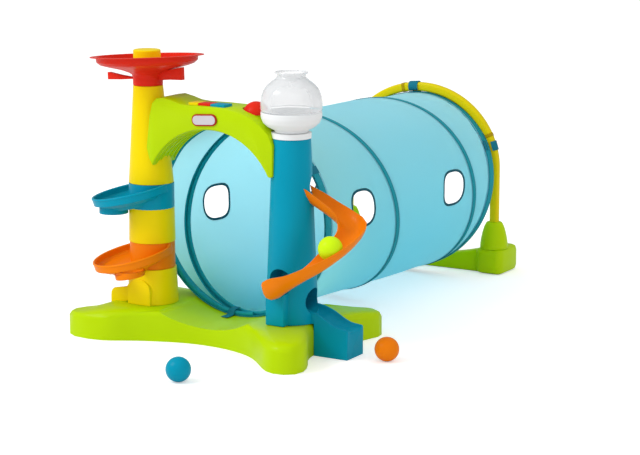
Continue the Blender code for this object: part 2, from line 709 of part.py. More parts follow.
def slide():
    line = slide_line()
    arc = [-SLIDE_RIM + 2 * SLIDE_RIM * step / SLIDE_ARC_STEPS for step in range(SLIDE_ARC_STEPS + 1)]
    out_r = SLIDE_IN_R + SLIDE_WALL
    stations = []
    for step in range(len(line)):
        stations.append((line[step], *line_frame(line, step), 0))
    centre, along, aside, up = stations[-1][:4]
    for step in range(1, SLIDE_END_STEPS + 1):
        stations.append((centre, along, aside, up, pi / 2 * step / SLIDE_END_STEPS))
    points = []
    for centre, along, aside, up, turn in stations:
        for radius, angles in ((out_r, arc), (SLIDE_IN_R, list(reversed(arc)))):
            for angle in angles:
                flat = radius * cos(turn)
                points.append(centre + along * radius * sin(turn) + aside * flat * sin(angle) - up * flat * cos(angle))
    count = 2 * len(arc)
    faces = [list(range(count))]
    for ring in range(len(stations) - 1):
        for step in range(count):
            after = (step + 1) % count
            faces.append([ring * count + step, ring * count + after,
                          (ring + 1) * count + after, (ring + 1) * count + step])
    made = solid("slide", points, faces, ORANGE, radians(40), shared=0.00001)
    cut(made, column("slide_clearance", TOWER_X, SEAT_Z, TEAL_TOP_Z, teal_r, grow=GAP))
    cut(made, nose("slide_nose_clearance", grow=GAP))
    return made


# Chute: a block with a sloping groove, cut back to clear the tower
def chute():
    outline = [(CHUTE_BASE_X, 0), (CHUTE_END_X, 0), *CHUTE_TOP, (CHUTE_ROOT_X, SEAT_Z + 2 * GAP),
               (CHUTE_BASE_X, SEAT_Z + 2 * GAP)]
    made = prism("chute", outline, EXIT_Y - CHUTE_HALF_W, EXIT_Y + CHUTE_HALF_W, "y", TEAL)
    (from_x, from_z), (to_x, to_z) = CHUTE_GROOVE
    start, stop = Vector((from_x, EXIT_Y, from_z)), Vector((to_x, EXIT_Y, to_z))
    reach = (stop - start) * 0.2
    cut(made, rod("chute_groove", start - reach, stop + reach, HOLE_R))
    slope = (to_z - from_z) / (to_x - from_x)
    low, high = from_x - CUT_OVER, CHUTE_END_X + CUT_OVER
    open_top = [(low, from_z + slope * (low - from_x)), (high, from_z + slope * (high - from_x)),
                (high, from_z + CUT_OVER), (low, from_z + CUT_OVER)]
    cut(made, prism("chute_open_top", open_top, EXIT_Y - HOLE_R, EXIT_Y + HOLE_R, "y"))
    cut(made, column("chute_clearance", TOWER_X, SEAT_Z, TEAL_TOP_Z, teal_r, grow=GAP))
    return made


# Arch with its three keys, domed button, plaque and back cover
def arch():
    outline = list(ARCH_TOP)
    for step in range(ARCH_UNDER_STEPS + 1):
        angle = ARCH_UNDER_FROM + (ARCH_UNDER_TO - ARCH_UNDER_FROM) * step / ARCH_UNDER_STEPS
        outline.append((ARCH_HOLLOW_R * sin(angle), ARCH_HOLLOW_Z + ARCH_HOLLOW_R * cos(angle)))
    made = prism("arch", outline, ARCH_FRONT_Y, ARCH_BACK_Y, "y", LIME)
    soften(made, ARCH_ROUND)
    seat_r = BUTTON_R + GAP + BUTTON_SEAT_WALL
    seat_root = BUTTON_SEAT_Z - 5 * BUTTON_TRAVEL
    join(made, turned("button_seat", [(0, BUTTON_SEAT_Z), (seat_r, BUTTON_SEAT_Z), (seat_r, seat_root), (0, seat_root)],
                      BUTTON_X, BUTTON_Y))
    pocket_r = BUTTON_R + GAP
    pocket_z = BUTTON_SKIRT_Z - BUTTON_TRAVEL - GAP
    above = BUTTON_TOP_Z + CUT_OVER
    cut(made, turned("button_pocket", [(0, above), (pocket_r, above), (pocket_r, pocket_z), (0, pocket_z)],
                     BUTTON_X, BUTTON_Y))
    cut(made, box("key_pocket", KEY_EDGES[0] - GAP, KEY_EDGES[-1] + GAP, KEY_FRONT_Y - GAP, KEY_BACK_Y + GAP,
                  KEY_BOTTOM_Z - KEY_TRAVEL - GAP, KEY_TOP_Z + CUT_OVER))
    cut(made, column("arch_left_clearance", -TOWER_X, ARCH_HOLLOW_Z, UPPER_TOP_Z, yellow_r, grow=GAP))
    cut(made, column("arch_right_clearance", TOWER_X, ARCH_HOLLOW_Z, TEAL_TOP_Z + GAP, teal_r, grow=GAP))
    bowl = [(0, BOWL_OUT[0][1]), *[(radius + GAP, z) for radius, z in BOWL_OUT[:-1]],
            (COLLAR_R + GAP, COLLAR_TOP_Z), (COLLAR_R + GAP, TEAL_TOP_Z), (0, TEAL_TOP_Z)]
    cut(made, turned("bowl_clearance", bowl, TOWER_X, TOWER_Y))
    return made


def keys():
    for name, start, stop, look in (("key_yellow", KEY_EDGES[0], KEY_EDGES[1], YELLOW),
                                    ("key_red", KEY_EDGES[1], KEY_EDGES[2], RED),
                                    ("key_teal", KEY_EDGES[2], KEY_EDGES[3], TEAL)):
        made = box(name, start + GAP / 2, stop - GAP / 2, KEY_FRONT_Y, KEY_BACK_Y, KEY_BOTTOM_Z, KEY_TOP_Z, look)
        soften(made, KEY_ROUND)


def dome_button():
    profile = []
    rise = BUTTON_TOP_Z - BUTTON_SEAT_Z
    for step in range(BUTTON_STEPS + 1):
        angle = pi / 2 * (1 - step / BUTTON_STEPS)
        profile.append((BUTTON_R * cos(angle) if step else 0, BUTTON_SEAT_Z + rise * sin(angle)))
    profile += [(BUTTON_R, BUTTON_SKIRT_Z), (0, BUTTON_SKIRT_Z)]
    turned("dome_button", profile, BUTTON_X, BUTTON_Y, RED)


def plaque():
    face_y = ARCH_FRONT_Y - GAP
    rim = rounded(PLAQUE_W / 2, PLAQUE_H / 2, PLAQUE_H / 2 - GAP, x=PLAQUE_X, z=PLAQUE_Z)
    prism("plaque_rim", rim, face_y - PLAQUE_T, face_y, "y", RED)
    half_w, half_h = PLAQUE_W / 2 - PLAQUE_MARGIN, PLAQUE_H / 2 - PLAQUE_MARGIN
    face = rounded(half_w, half_h, half_h - GAP, x=PLAQUE_X, z=PLAQUE_Z)
    face_y -= PLAQUE_T + GAP
    prism("plaque_face", face, face_y - PLAQUE_FACE_T, face_y, "y", WHITE)
    cover = rounded(COVER_W / 2, COVER_H / 2, COVER_H / 5, x=0, z=COVER_Z)
    prism("battery_cover", cover, ARCH_BACK_Y + GAP, ARCH_BACK_Y + GAP + COVER_T, "y", LIME)


# Loose balls: one on the slide, two on the floor
def ball(name, x, y, z, look):
    mesh = bpy.data.meshes.new(name)
    shape = bmesh.new()
    bmesh.ops.create_icosphere(shape, subdivisions=3, radius=BALL_R)
    shape.to_mesh(mesh)
    shape.free()
    made = add(name, mesh, look)
    made.location = (x, y, z)


def balls():
    for name, (x, y), look in FLOOR_BALLS:
        ball(name, x, y, BALL_R, look)
    line = slide_line()
    step = SLIDE_BALL_STATION
    along, aside, up = line_frame(line, step)
    flat = SLIDE_IN_R * cos(SLIDE_RIM / SLIDE_ARC_STEPS)
    ball("green_ball", *(line[step] - up * (flat - BALL_R - GAP)), LIME_BALL)


# Tunnel surfaces: a point at a distance along, an angle from the bottom and a radius
def on_tunnel(y, angle, radius):
    share = y / TUNNEL_L
    lean = REAR_LEAN * max(0, min(1, share)) ** LEAN_POWER
    centre = FRONT_HOOP_Z + (REAR_HOOP_Z - FRONT_HOOP_Z) * share
    up = -radius * cos(angle)
    return Vector((-radius * sin(angle), y + up * sin(lean), centre + up * cos(lean)))


def wire_y(turn):
    # how far along the wire is, from -1 (start of the front hoop) to COIL_TURNS + 1 (end of the rear hoop)
    if turn < 0:
        return WIRE_LEAD * (turn + 1)
    if turn > COIL_TURNS:
        return TUNNEL_L - WIRE_LEAD + WIRE_LEAD * (turn - COIL_TURNS)
    return WIRE_LEAD + (TUNNEL_L - 2 * WIRE_LEAD) * turn / COIL_TURNS


def tunnel_spring():
    curve = bpy.data.curves.new("tunnel_spring_line", "CURVE")
    curve.dimensions = "3D"
    curve.bevel_depth = WIRE_R
    curve.bevel_resolution = 1
    curve.use_fill_caps = True
    count = (COIL_TURNS + 2) * TURN_STEPS + 1
    line = curve.splines.new("POLY")
    line.points.add(count - 1)
    for step in range(count):
        turn = step / TURN_STEPS - 1
        spot = on_tunnel(wire_y(turn), 2 * pi * turn + COIL_START, HOOP_R)
        line.points[step].co = (*spot, 1)
    source = bpy.data.objects.new("tunnel_spring_line", curve)
    parts.objects.link(source)
    bpy.context.view_layer.update()
    mesh = bpy.data.meshes.new_from_object(source.evaluated_get(bpy.context.evaluated_depsgraph_get()))
    shape = bmesh.new()
    shape.from_mesh(mesh)
    bmesh.ops.remove_doubles(shape, verts=shape.verts, dist=0.00001)
    bmesh.ops.recalc_face_normals(shape, faces=shape.faces)
    shape.to_mesh(mesh)
    shape.free()
    gaps = [(on_tunnel(wire_y(step / TURN_STEPS - 1), 0, HOOP_R)
             - on_tunnel(wire_y(step / TURN_STEPS), 0, HOOP_R)).length - 2 * WIRE_R
            for step in range((COIL_TURNS + 1) * TURN_STEPS)]
    print("least gap of the spring to itself, mm:", round(1000 * min(gaps), 2))
    made = add("tunnel_spring", mesh, None, radians(60))
    mesh.materials.clear()
    mesh.materials.append(material(*PIPING))
    cutters.objects.unlink(made)
    parts.objects.link(made)
    made.hide_render = False
    made.display_type = "TEXTURED"
    bpy.data.objects.remove(source, do_unlink=True)
    return made


def cloth_spans(angle):
    # the wire passes that carry the cloth at this angle, front to back
    part = ((angle - COIL_START) / (2 * pi)) % 1
    return [WIRE_LEAD] + [wire_y(part + turn) for turn in range(COIL_TURNS)] + [TUNNEL_L - WIRE_LEAD]


def cloth_sag(y, low, high):
    if high - low < GAP or y <= low or y >= high:
        return 0
    share = (y - low) / (high - low)
    return CLOTH_SAG * 4 * share * (1 - share) * (high - low) * COIL_TURNS / TUNNEL_L


def cloth_radius(y, angle):
    spans = cloth_spans(angle)
    for low, high in zip(spans, spans[1:]):
        if low <= y <= high:
            return CLOTH_IN_R - cloth_sag(y, low, high)
    return CLOTH_IN_R


def tunnel_fabric():
    points = []
    known = {}

    def at(y, step, sag):
        angle = COIL_START + 2 * pi * (step % TURN_STEPS) / TURN_STEPS
        key = (round(y, 6), step % TURN_STEPS)
        if key not in known:
            known[key] = len(points)
            points.append(on_tunnel(y, angle, CLOTH_IN_R - sag))
        return known[key]

    faces = []
    columns = []
    for step in range((COIL_TURNS + 1) * TURN_STEPS + 1):
        turn = step / TURN_STEPS
        low = WIRE_LEAD if turn <= 1 else wire_y(turn - 1)
        high = TUNNEL_L - WIRE_LEAD if turn >= COIL_TURNS else wire_y(turn)
        columns.append([at(low + (high - low) * row / CLOTH_ROWS, step,
                           cloth_sag(low + (high - low) * row / CLOTH_ROWS, low, high))
                        for row in range(CLOTH_ROWS + 1)])
    for step in range(len(columns) - 1):
        for row in range(CLOTH_ROWS):
            corners = [columns[step][row], columns[step][row + 1], columns[step + 1][row + 1], columns[step + 1][row]]
            face = []
            for corner in corners:
                if corner not in face:
                    face.append(corner)
            if len(face) > 2:
                faces.append(face)
    for edge_y, ring_y in ((-HEM, WIRE_LEAD), (TUNNEL_L + HEM, TUNNEL_L - WIRE_LEAD)):
        for step in range(TURN_STEPS):
            face = [at(edge_y, step, 0), at(edge_y, step + 1, 0), at(ring_y, step + 1, 0), at(ring_y, step, 0)]
            faces.append(face)
    made = solid("tunnel_fabric", points, faces, CLOTH, radians(60))
    aim = made.data.polygons[0]
    outward = aim.center.x * aim.normal.x + (aim.center.z - FRONT_HOOP_Z) * aim.normal.z
    thick = made.modifiers.new("Cloth", "SOLIDIFY")
    thick.thickness = CLOTH_T
    thick.offset = 1 if outward > 0 else -1
    thick.use_even_offset = True
    for number, (side, along, rise) in enumerate(WINDOW_SHARES, 1):
        cut(made, window_ring("window_cutter_%d" % number, side, along * TUNNEL_L, rise, 0, 0, -CUT_OVER, CUT_OVER))
    return made


def window_ring(name, side, y, rise, inner, outer, low, high, look=None):
    # a ring that follows the cloth round a window, or the whole window when inner and outer are the same
    middle = (1.5 * pi if side > 0 else 0.5 * pi) - side * rise
    rings = []
    for grow, lift in ((inner, low), (inner, high), (outer, high), (outer, low)):
        ring = []
        for step in range(WINDOW_STEPS):
            angle = 2 * pi * step / WINDOW_STEPS
            reach = (abs(cos(angle)) ** WINDOW_SQUARE + abs(sin(angle)) ** WINDOW_SQUARE) ** (-1 / WINDOW_SQUARE)
            here_y = y + (WINDOW_HALF_L + grow) * reach * cos(angle)
            here_angle = middle + (WINDOW_HALF_H + grow) * reach * sin(angle) / HOOP_R
            radius = cloth_radius(here_y, here_angle) + CLOTH_T + lift
            ring.append(on_tunnel(here_y, here_angle, radius))
        rings.append(ring)
    count = WINDOW_STEPS
    if inner == outer:
        points = rings[0] + rings[1]
        faces = []
        for ring in range(2):
            hub = sum(rings[ring], Vector()) / count
            points.append(hub)
            for step in range(count):
                faces.append([ring * count + step, ring * count + (step + 1) % count, 2 * count + ring])
        for step in range(count):
            after = (step + 1) % count
            faces.append([step, after, count + after, count + step])
        return solid(name, points, faces, look)
    points = [point for ring in rings for point in ring]
    faces = []
    for ring in range(4):
        other = (ring + 1) % 4
        for step in range(count):
            after = (step + 1) % count
            faces.append([ring * count + step, ring * count + after, other * count + after, other * count + step])
    return solid(name, points, faces, look)


def window_bindings():
    for number, (side, along, rise) in enumerate(WINDOW_SHARES, 1):
        window_ring("window_binding_%d" % number, side, along * TUNNEL_L, rise, GAP, BINDING_W, BINDING_OFF,
                    BINDING_OFF + BINDING_T, PIPING)


# Rear stand: floor bar with two feet, and a yellow arch in four lengths
def tube(name, line, radius, look, first=None, last=None, steps=14):
    # a round tube along a line; first and last square its ends to a given direction
    points = []
    for step, spot in enumerate(line):
        along = (line[min(step + 1, len(line) - 1)] - line[max(step - 1, 0)]).normalized()
        if first and step == 0:
            along = first
        if last and step == len(line) - 1:
            along = last
        across = Vector((0, 1, 0))
        third = along.cross(across)
        for part in range(steps):
            angle = 2 * pi * part / steps
            points.append(spot + radius * (cos(angle) * across + sin(angle) * third))
    count = len(line)
    faces = [list(range(steps)), list(range(count * steps - 1, (count - 1) * steps - 1, -1))]
    for ring in range(count - 1):
        for part in range(steps):
            after = (part + 1) % steps
            faces.append([ring * steps + part, ring * steps + after,
                          (ring + 1) * steps + after, (ring + 1) * steps + part])
    return solid(name, points, faces, look, radians(60))


def rear_point(angle):
    # a point on the rear arch, its angle counted from the top toward +X
    return Vector((REAR_ARCH_R * sin(angle), REAR_Y, REAR_ARCH_Z + REAR_ARCH_R * cos(angle)))


def rear_arc(start, stop):
    trim = GAP / 2 / REAR_ARCH_R
    start, stop = start + trim, stop - trim
    count = max(2, round((stop - start) / ARC_STEP))
    return [rear_point(start + (stop - start) * step / count) for step in range(count + 1)]


def rear_arch():
    right = rear_arc(RIGHT_JOINT, pi / 2) + [Vector((REAR_ARCH_R, REAR_Y, LEG_END_Z))]
    left = [Vector((-REAR_ARCH_R, REAR_Y, LEG_END_Z))] + rear_arc(-pi / 2, LEFT_JOINT)
    ends = {joint: Vector((cos(joint), 0, -sin(joint))) for joint in (LEFT_JOINT, MID_JOINT, RIGHT_JOINT)}
    tube("rear_leg_left", left, REAR_TUBE_R, ARCH_YELLOW, last=ends[LEFT_JOINT])
    tube("rear_arc_left", rear_arc(LEFT_JOINT, MID_JOINT), REAR_TUBE_R, ARCH_YELLOW, ends[LEFT_JOINT], ends[MID_JOINT])
    tube("rear_arc_right", rear_arc(MID_JOINT, RIGHT_JOINT), REAR_TUBE_R, ARCH_YELLOW, ends[MID_JOINT],
         ends[RIGHT_JOINT])
    tube("rear_leg_right", right, REAR_TUBE_R, ARCH_YELLOW, first=ends[RIGHT_JOINT])


def rear_foot(name, side):
    half_w = (REAR_FOOT_OUT_X - REAR_FOOT_IN_X) / 2
    half_l = (REAR_FOOT_BACK_Y - REAR_FOOT_FRONT_Y) / 2
    outline = rounded(half_w, half_l, half_w / 2, steps=3, x=side * (REAR_FOOT_IN_X + half_w),
                      z=REAR_FOOT_FRONT_Y + half_l)
    made = prism(name, outline, 0, REAR_FOOT_Z, "z")
    upper = made.modifiers.new("Round", "BEVEL")
    upper.width = REAR_FOOT_ROUND
    upper.segments = 2
    upper.limit_method = "ANGLE"
    upper.angle_limit = radians(60)
    return made


def rear_base():
    outline = [(REAR_FOOT_IN_X + REAR_FOOT_ROUND, GAP), (REAR_FOOT_IN_X + REAR_FOOT_ROUND, BAR_SIDE_Z)]
    reach = REAR_FOOT_IN_X
    for step in range(13):
        x = reach * (1 - step / 6)
        outline.append((x, BAR_MID_Z + (BAR_SIDE_Z - BAR_MID_Z) * (x / reach) ** 2))
    outline += [(-REAR_FOOT_IN_X - REAR_FOOT_ROUND, BAR_SIDE_Z), (-REAR_FOOT_IN_X - REAR_FOOT_ROUND, GAP)]
    made = prism("rear_base", outline, BAR_FRONT_Y, BAR_BACK_Y, "y", LIME)
    soften(made, BAR_ROUND)
    bore_r = (REAR_TUBE_R + GAP) / cos(pi / SOCKET_STEPS)
    for side, name in ((-1, "left"), (1, "right")):
        join(made, rear_foot("rear_foot_" + name, side))
        root = REAR_FOOT_Z - REAR_FOOT_ROUND
        socket = [(0, SOCKET_TOP_Z), (SOCKET_TOP_R, SOCKET_TOP_Z), (SOCKET_FOOT_R, REAR_FOOT_Z), (SOCKET_FOOT_R, root),
                  (0, root)]
        join(made, turned("socket_" + name, socket, side * REAR_ARCH_R, REAR_Y, steps=SOCKET_STEPS))
        cut(made, turned("socket_bore_" + name, [(0, SOCKET_TOP_Z + CUT_OVER), (bore_r, SOCKET_TOP_Z + CUT_OVER),
                                                 (bore_r, LEG_END_Z - GAP), (0, LEG_END_Z - GAP)],
                         side * REAR_ARCH_R, REAR_Y, steps=SOCKET_STEPS))
    return made


# Straps: flat bands swept along a line with their width in a given direction
def ribbon(name, line, widths):
    # widths is one direction for each point of the line
    points = []
    for step, (spot, width_dir) in enumerate(zip(line, widths)):
        along = (line[min(step + 1, len(line) - 1)] - line[max(step - 1, 0)]).normalized()
        lift = along.cross(width_dir).normalized() * STRAP_T / 2
        wide = width_dir.normalized() * STRAP_W / 2
        points += [spot - wide - lift, spot + wide - lift, spot + wide + lift, spot - wide + lift]
    count = len(line)
    faces = [[0, 1, 2, 3], [4 * count - 1, 4 * count - 2, 4 * count - 3, 4 * count - 4]]
    for ring in range(count - 1):
        for part in range(4):
            after = (part + 1) % 4
            faces.append([4 * ring + part, 4 * ring + after, 4 * ring + 4 + after, 4 * ring + 4 + part])
    return solid(name, points, faces, STRAPPING, radians(30))


LAP_R = CLOTH_OUT_R + GAP + STRAP_T / 2 + CLOTH_T / 2


def rear_strap(name, angle):
    # a loop round the arch's tube with a tail onto the cloth
    hub = rear_point(angle)
    outward = Vector((sin(angle), 0, cos(angle)))
    back = Vector((0, 1, 0))
    tangent = back.cross(outward)
    best = min(range(720), key=lambda step: (on_tunnel(TUNNEL_L, pi * step / 360, LAP_R) - hub).length)
    theta = pi * best / 360
    tail = []
    for y in (TUNNEL_L - STRAP_LAP, TUNNEL_L - STRAP_LAP / 2, TUNNEL_L + HEM):
        spot = on_tunnel(y, theta, LAP_R)
        tail.append(spot - tangent * (spot - hub).dot(tangent))
    last = tail[-1] - hub
    radius = REAR_TUBE_R + 3 * GAP + STRAP_T / 2
    toward = atan2(last.dot(back), last.dot(outward))
    side = 1 if last.dot(back) > 0 else -1
    first = toward + side * (pi / 2 - atan2(radius, last.length))
    loop = []
    steps = 14
    for step in range(steps + 1):
        turn = first + side * radians(275) * step / steps
        loop.append(hub + radius * (cos(turn) * outward + sin(turn) * back))
    cloth_way = on_tunnel(TUNNEL_L, theta + GAP, LAP_R) - on_tunnel(TUNNEL_L, theta - GAP, LAP_R)
    if cloth_way.dot(tangent) < 0:
        cloth_way.negate()
    return ribbon(name, tail + loop, [cloth_way] * len(tail) + [tangent] * len(loop))


def lap_radius(theta):
    # The cloth has flats, so a band lies on the highest point of it under its own width
    facet = 2 * pi / TURN_STEPS
    half = STRAP_W / 2 / LAP_R
    highest = 0
    for step in range(-6, 7):
        angle = theta + half * step / 6
        from_middle = (angle - COIL_START) % facet - facet / 2
        highest = max(highest, cos(facet / 2) / cos(from_middle) * cos(angle - theta))
    return LAP_R * highest


def straps():
    rear_strap("rear_strap_top", REAR_STRAP_TOP)
    rear_strap("rear_strap_right", REAR_STRAP_SIDE)
    rear_strap("rear_strap_left", -REAR_STRAP_SIDE)
    across = Vector((1, 0, 0))
    front = BAR_FRONT_Y - GAP - STRAP_T / 2
    ribbon("rear_strap_bottom", [on_tunnel(TUNNEL_L - STRAP_LAP, 0, LAP_R), on_tunnel(TUNNEL_L + HEM, 0, LAP_R),
                                 Vector((0, front - STRAP_T, BAR_MID_Z / 3)),
                                 Vector((0, front, BAR_MID_Z / 2)), Vector((0, front, BAR_MID_Z - BAR_ROUND))],
           [across] * 5)
    for name, side, z, radius_at in (("front_strap_right", 1, RIGHT_STRAP_Z, teal_r),
                                     ("front_strap_left", -1, LEFT_STRAP_Z, yellow_r)):
        up = (z - FRONT_HOOP_Z) / LAP_R
        theta = pi + side * atan2(sqrt(1 - up * up), up)
        lap = [on_tunnel(y, theta, lap_radius(theta)) for y in (-HEM, STRAP_LAP / 2, STRAP_LAP)]
        near_r = radius_at(z - STRAP_W / 2)
        tie_x = min(abs(lap[0].x), TOWER_X + near_r / 2 + STRAP_W / 2)
        off = max(0, tie_x - TOWER_X - STRAP_W / 2)
        back = TOWER_Y + sqrt(near_r ** 2 - off ** 2) + GAP
        tangent = Vector((-cos(theta), 0, sin(theta)))
        ribbon(name, [Vector((side * tie_x, back, lap[0].z))] + lap, [tangent] * 4)
    seat = saddle_z() + SADDLE_R - sqrt(SADDLE_R ** 2 - (abs(BASE_STRAP_X) + STRAP_W / 2) ** 2) + GAP + STRAP_T / 2
    side_x = abs(BASE_STRAP_X) + STRAP_W / 2
    over = FRONT_HOOP_Z - sqrt(HOOP_R ** 2 - side_x ** 2) + WIRE_R + 2 * GAP + STRAP_T / 2
    line = [(-2 * STRAP_W, seat), (-HEM - 2 * STRAP_LEAD, seat), (-HEM - STRAP_LEAD, seat + STRAP_LEAD / 2),
            (-HEM - STRAP_LEAD / 2, over - STRAP_LEAD), (-HEM + STRAP_LEAD / 2, over), (WIRE_LEAD, over + GAP),
            (2 * WIRE_LEAD, over + GAP)]
    ribbon("base_strap", [Vector((BASE_STRAP_X, y, z)) for y, z in line], [across] * len(line))


front_base()
yellow_tower()
tray("orange_tray", LOWER_TOP_Z + GAP, ORANGE_TOP_Z, ORANGE_RIM_Z, ORANGE_OFF, ORANGE_SPOUT_OFF,
     ORANGE_SPOUT_Z, ORANGE)
tray("teal_tray", MIDDLE_TOP_Z + GAP, TEAL_TRAY_TOP_Z, TEAL_RIM_Z, TEAL_OFF, TEAL_SPOUT_OFF, TEAL_SPOUT_Z, TEAL)
red_dish()
arch()
keys()
dome_button()
plaque()
teal_tower()
slide()
chute()
balls()
tunnel_spring()
tunnel_fabric()
window_bindings()
rear_arch()
rear_base()
straps()
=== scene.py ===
import bpy
import bmesh
from math import atan2, pi, sin, cos, radians
from mathutils import Euler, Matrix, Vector, noise


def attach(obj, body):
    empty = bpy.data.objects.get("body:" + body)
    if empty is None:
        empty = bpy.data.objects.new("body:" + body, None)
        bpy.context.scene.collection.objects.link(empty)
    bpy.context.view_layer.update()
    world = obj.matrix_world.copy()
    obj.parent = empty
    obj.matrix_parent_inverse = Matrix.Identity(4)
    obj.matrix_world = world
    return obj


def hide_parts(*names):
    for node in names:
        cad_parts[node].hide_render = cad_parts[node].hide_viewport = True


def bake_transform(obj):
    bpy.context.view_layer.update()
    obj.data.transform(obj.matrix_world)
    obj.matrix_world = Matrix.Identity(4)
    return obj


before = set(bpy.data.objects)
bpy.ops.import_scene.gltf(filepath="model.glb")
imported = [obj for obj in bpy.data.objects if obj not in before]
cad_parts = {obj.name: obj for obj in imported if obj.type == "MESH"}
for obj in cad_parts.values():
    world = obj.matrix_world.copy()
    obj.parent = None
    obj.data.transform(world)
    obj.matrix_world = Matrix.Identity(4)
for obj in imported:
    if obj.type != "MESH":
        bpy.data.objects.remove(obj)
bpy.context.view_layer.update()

# The studio. A pale floor under a white surround, one broad soft light from the front left, a weaker
# one from the right, and the camera where the photograph was taken: to the right of the front stand,
# a little above it, with a long lens.
TURN, TILT = 0.5325, 0.1968
EYE = Vector((2.6958, -4.1669, 1.2527))
PICTURE_WIDE, PICTURE_HIGH = 640, 455
LENS_PIXELS, CENTRE_PIXELS = 2053.05, (324.83, 228.37)


def in_scene(name, data):
    # a new object in the scene
    made = bpy.data.objects.new(name, data)
    bpy.context.scene.collection.objects.link(made)
    return made


def set_up(name, data, spot, aim):
    # a camera or a lamp that stands here and looks this way
    made = in_scene(name, data)
    made.location = spot
    made.rotation_mode = "QUATERNION"
    made.rotation_quaternion = aim.to_track_quat("-Z", "Y")
    return made


camera = set_up("camera", bpy.data.cameras.new("camera"), EYE,
                Vector((-sin(TURN) * cos(TILT), cos(TURN) * cos(TILT), -sin(TILT))))
bpy.context.scene.camera = camera
camera.data.sensor_width = 36
camera.data.lens = LENS_PIXELS * camera.data.sensor_width / PICTURE_WIDE
camera.data.shift_x = (PICTURE_WIDE / 2 - CENTRE_PIXELS[0]) / PICTURE_WIDE
camera.data.shift_y = (CENTRE_PIXELS[1] - PICTURE_HIGH / 2) / PICTURE_WIDE
camera.data.clip_end = 100
bpy.context.scene.view_settings.view_transform = "Standard"


def worked(operation, swapped=False):
    # the method that adds the node for one kind of sum
    def sum_of(self, other):
        first, second = (other, self) if swapped else (self, other)
        return self.recipe.node("ShaderNodeMath", {0: first, 1: second}, operation=operation)
    return sum_of


class Term:
    # a number inside a material or a shape: writing a + b adds the node that works it out
    __add__ = __radd__ = worked("ADD")
    __sub__ = worked("SUBTRACT")
    __rsub__ = worked("SUBTRACT", swapped=True)
    __mul__ = __rmul__ = worked("MULTIPLY")
    __truediv__ = worked("DIVIDE")
    larger = worked("MAXIMUM")

    def __init__(self, recipe, socket):
        self.recipe = recipe
        self.socket = socket

    def out(self, place):
        return Term(self.recipe, self.socket.node.outputs[place])

    def of(self, operation):
        return self.recipe.node("ShaderNodeMath", {0: self}, operation=operation)


class Recipe:
    # one node tree, of a material or of a shape that repeats
    def __init__(self, tree):
        self.tree = tree
        tree.nodes.clear()

    def node(self, kind, sockets=None, out=0, **settings):
        made = self.tree.nodes.new(kind)
        for key, value in settings.items():
            setattr(made, key, value)
        for key, value in (sockets or {}).items():
            if isinstance(value, Term):
                self.tree.links.new(value.socket, made.inputs[key])
            else:
                made.inputs[key].default_value = value
        return Term(self, made.outputs[out]) if made.outputs else made

    def mixed(self, share, first, second):
        return self.node("ShaderNodeMix", {0: share, 6: first, 7: second}, out=2, data_type="RGBA")

    def noise(self, place, scale, detail):
        return self.node("ShaderNodeTexNoise", {"Vector": place, "Scale": scale, "Detail": detail})

    def place(self):
        # where a point of the piece lies, in metres
        return self.node("ShaderNodeTexCoord").out("Object")

    def surface(self, look):
        self.node("ShaderNodeOutputMaterial", {"Surface": look})

    def shape(self, geometry, look):
        geometry = self.node("GeometryNodeSetMaterial", {"Geometry": geometry, "Material": look})
        self.node("NodeGroupOutput", {"Geometry": geometry})

    def held(self, share, top=1.0):
        # the share, held between 0 and the top
        return self.node("ShaderNodeClamp", {0: share, 2: top})


def made_of(name):
    # a new material and the recipe to fill it
    made = bpy.data.materials.new(name)
    made.use_nodes = True
    return made, Recipe(made.node_tree)


def screen(*shade):
    # a colour as it shows on a screen (red, green, blue), as linear light
    return tuple(v / 255 / 12.92 if v <= 10 else ((v / 255 + 0.055) / 1.055) ** 2.4 for v in shade) + (1,)


def scaled(colour, by, more=0.0):
    # the colour made brighter or darker
    return tuple(min(1, by * v + more) for v in colour[:3]) + (1,)


world = bpy.data.worlds.new("surround")
bpy.context.scene.world = world
world.use_nodes = True
r = Recipe(world.node_tree)
ray = r.node("ShaderNodeLightPath")
seen = ray.out("Is Camera Ray").larger(ray.out("Is Transmission Ray"))
strength = 0.84 - ray.out("Is Glossy Ray") * 0.54
dim = r.node("ShaderNodeBackground", {"Color": (1, 1, 1, 1), "Strength": strength})
bright = r.node("ShaderNodeBackground", {"Color": (1, 1, 1, 1), "Strength": 1.0})
shown = r.node("ShaderNodeMixShader", {0: seen, 1: dim, 2: bright})
r.node("ShaderNodeOutputWorld", {"Surface": shown})

FLOOR_HALF = 40
corners = [(x * FLOOR_HALF, y * FLOOR_HALF, 0) for x, y in ((-1, -1), (1, -1), (1, 1), (-1, 1))]
mesh = bpy.data.meshes.new("floor")
mesh.from_pydata(corners, [], [(0, 1, 2, 3)])
floor = in_scene("floor", mesh)
paper_look, r = made_of("floor_paper")
paper = r.node("ShaderNodeBsdfDiffuse", {"Color": (0.86, 0.86, 0.86, 1)})
glow = r.node("ShaderNodeLightPath").out("Is Camera Ray") * 0.40
glow = r.node("ShaderNodeEmission", {"Color": (1, 1, 1, 1), "Strength": glow})
both = r.node("ShaderNodeAddShader", {0: paper, 1: glow})
r.surface(both)
floor.data.materials.append(paper_look)

LIGHTS_AIM = Vector((0, 0.3, 0.3))
for name, spot, size, power in (("key_light", Vector((-2.6, -3.0, 3.9)), 2.2, 118),
                                ("fill_light", Vector((3.4, -2.6, 2.0)), 2.4, 3)):
    lamp = bpy.data.lights.new(name, "AREA")
    lamp.size = size
    lamp.energy = power
    set_up(name, lamp, spot, LIGHTS_AIM - spot)


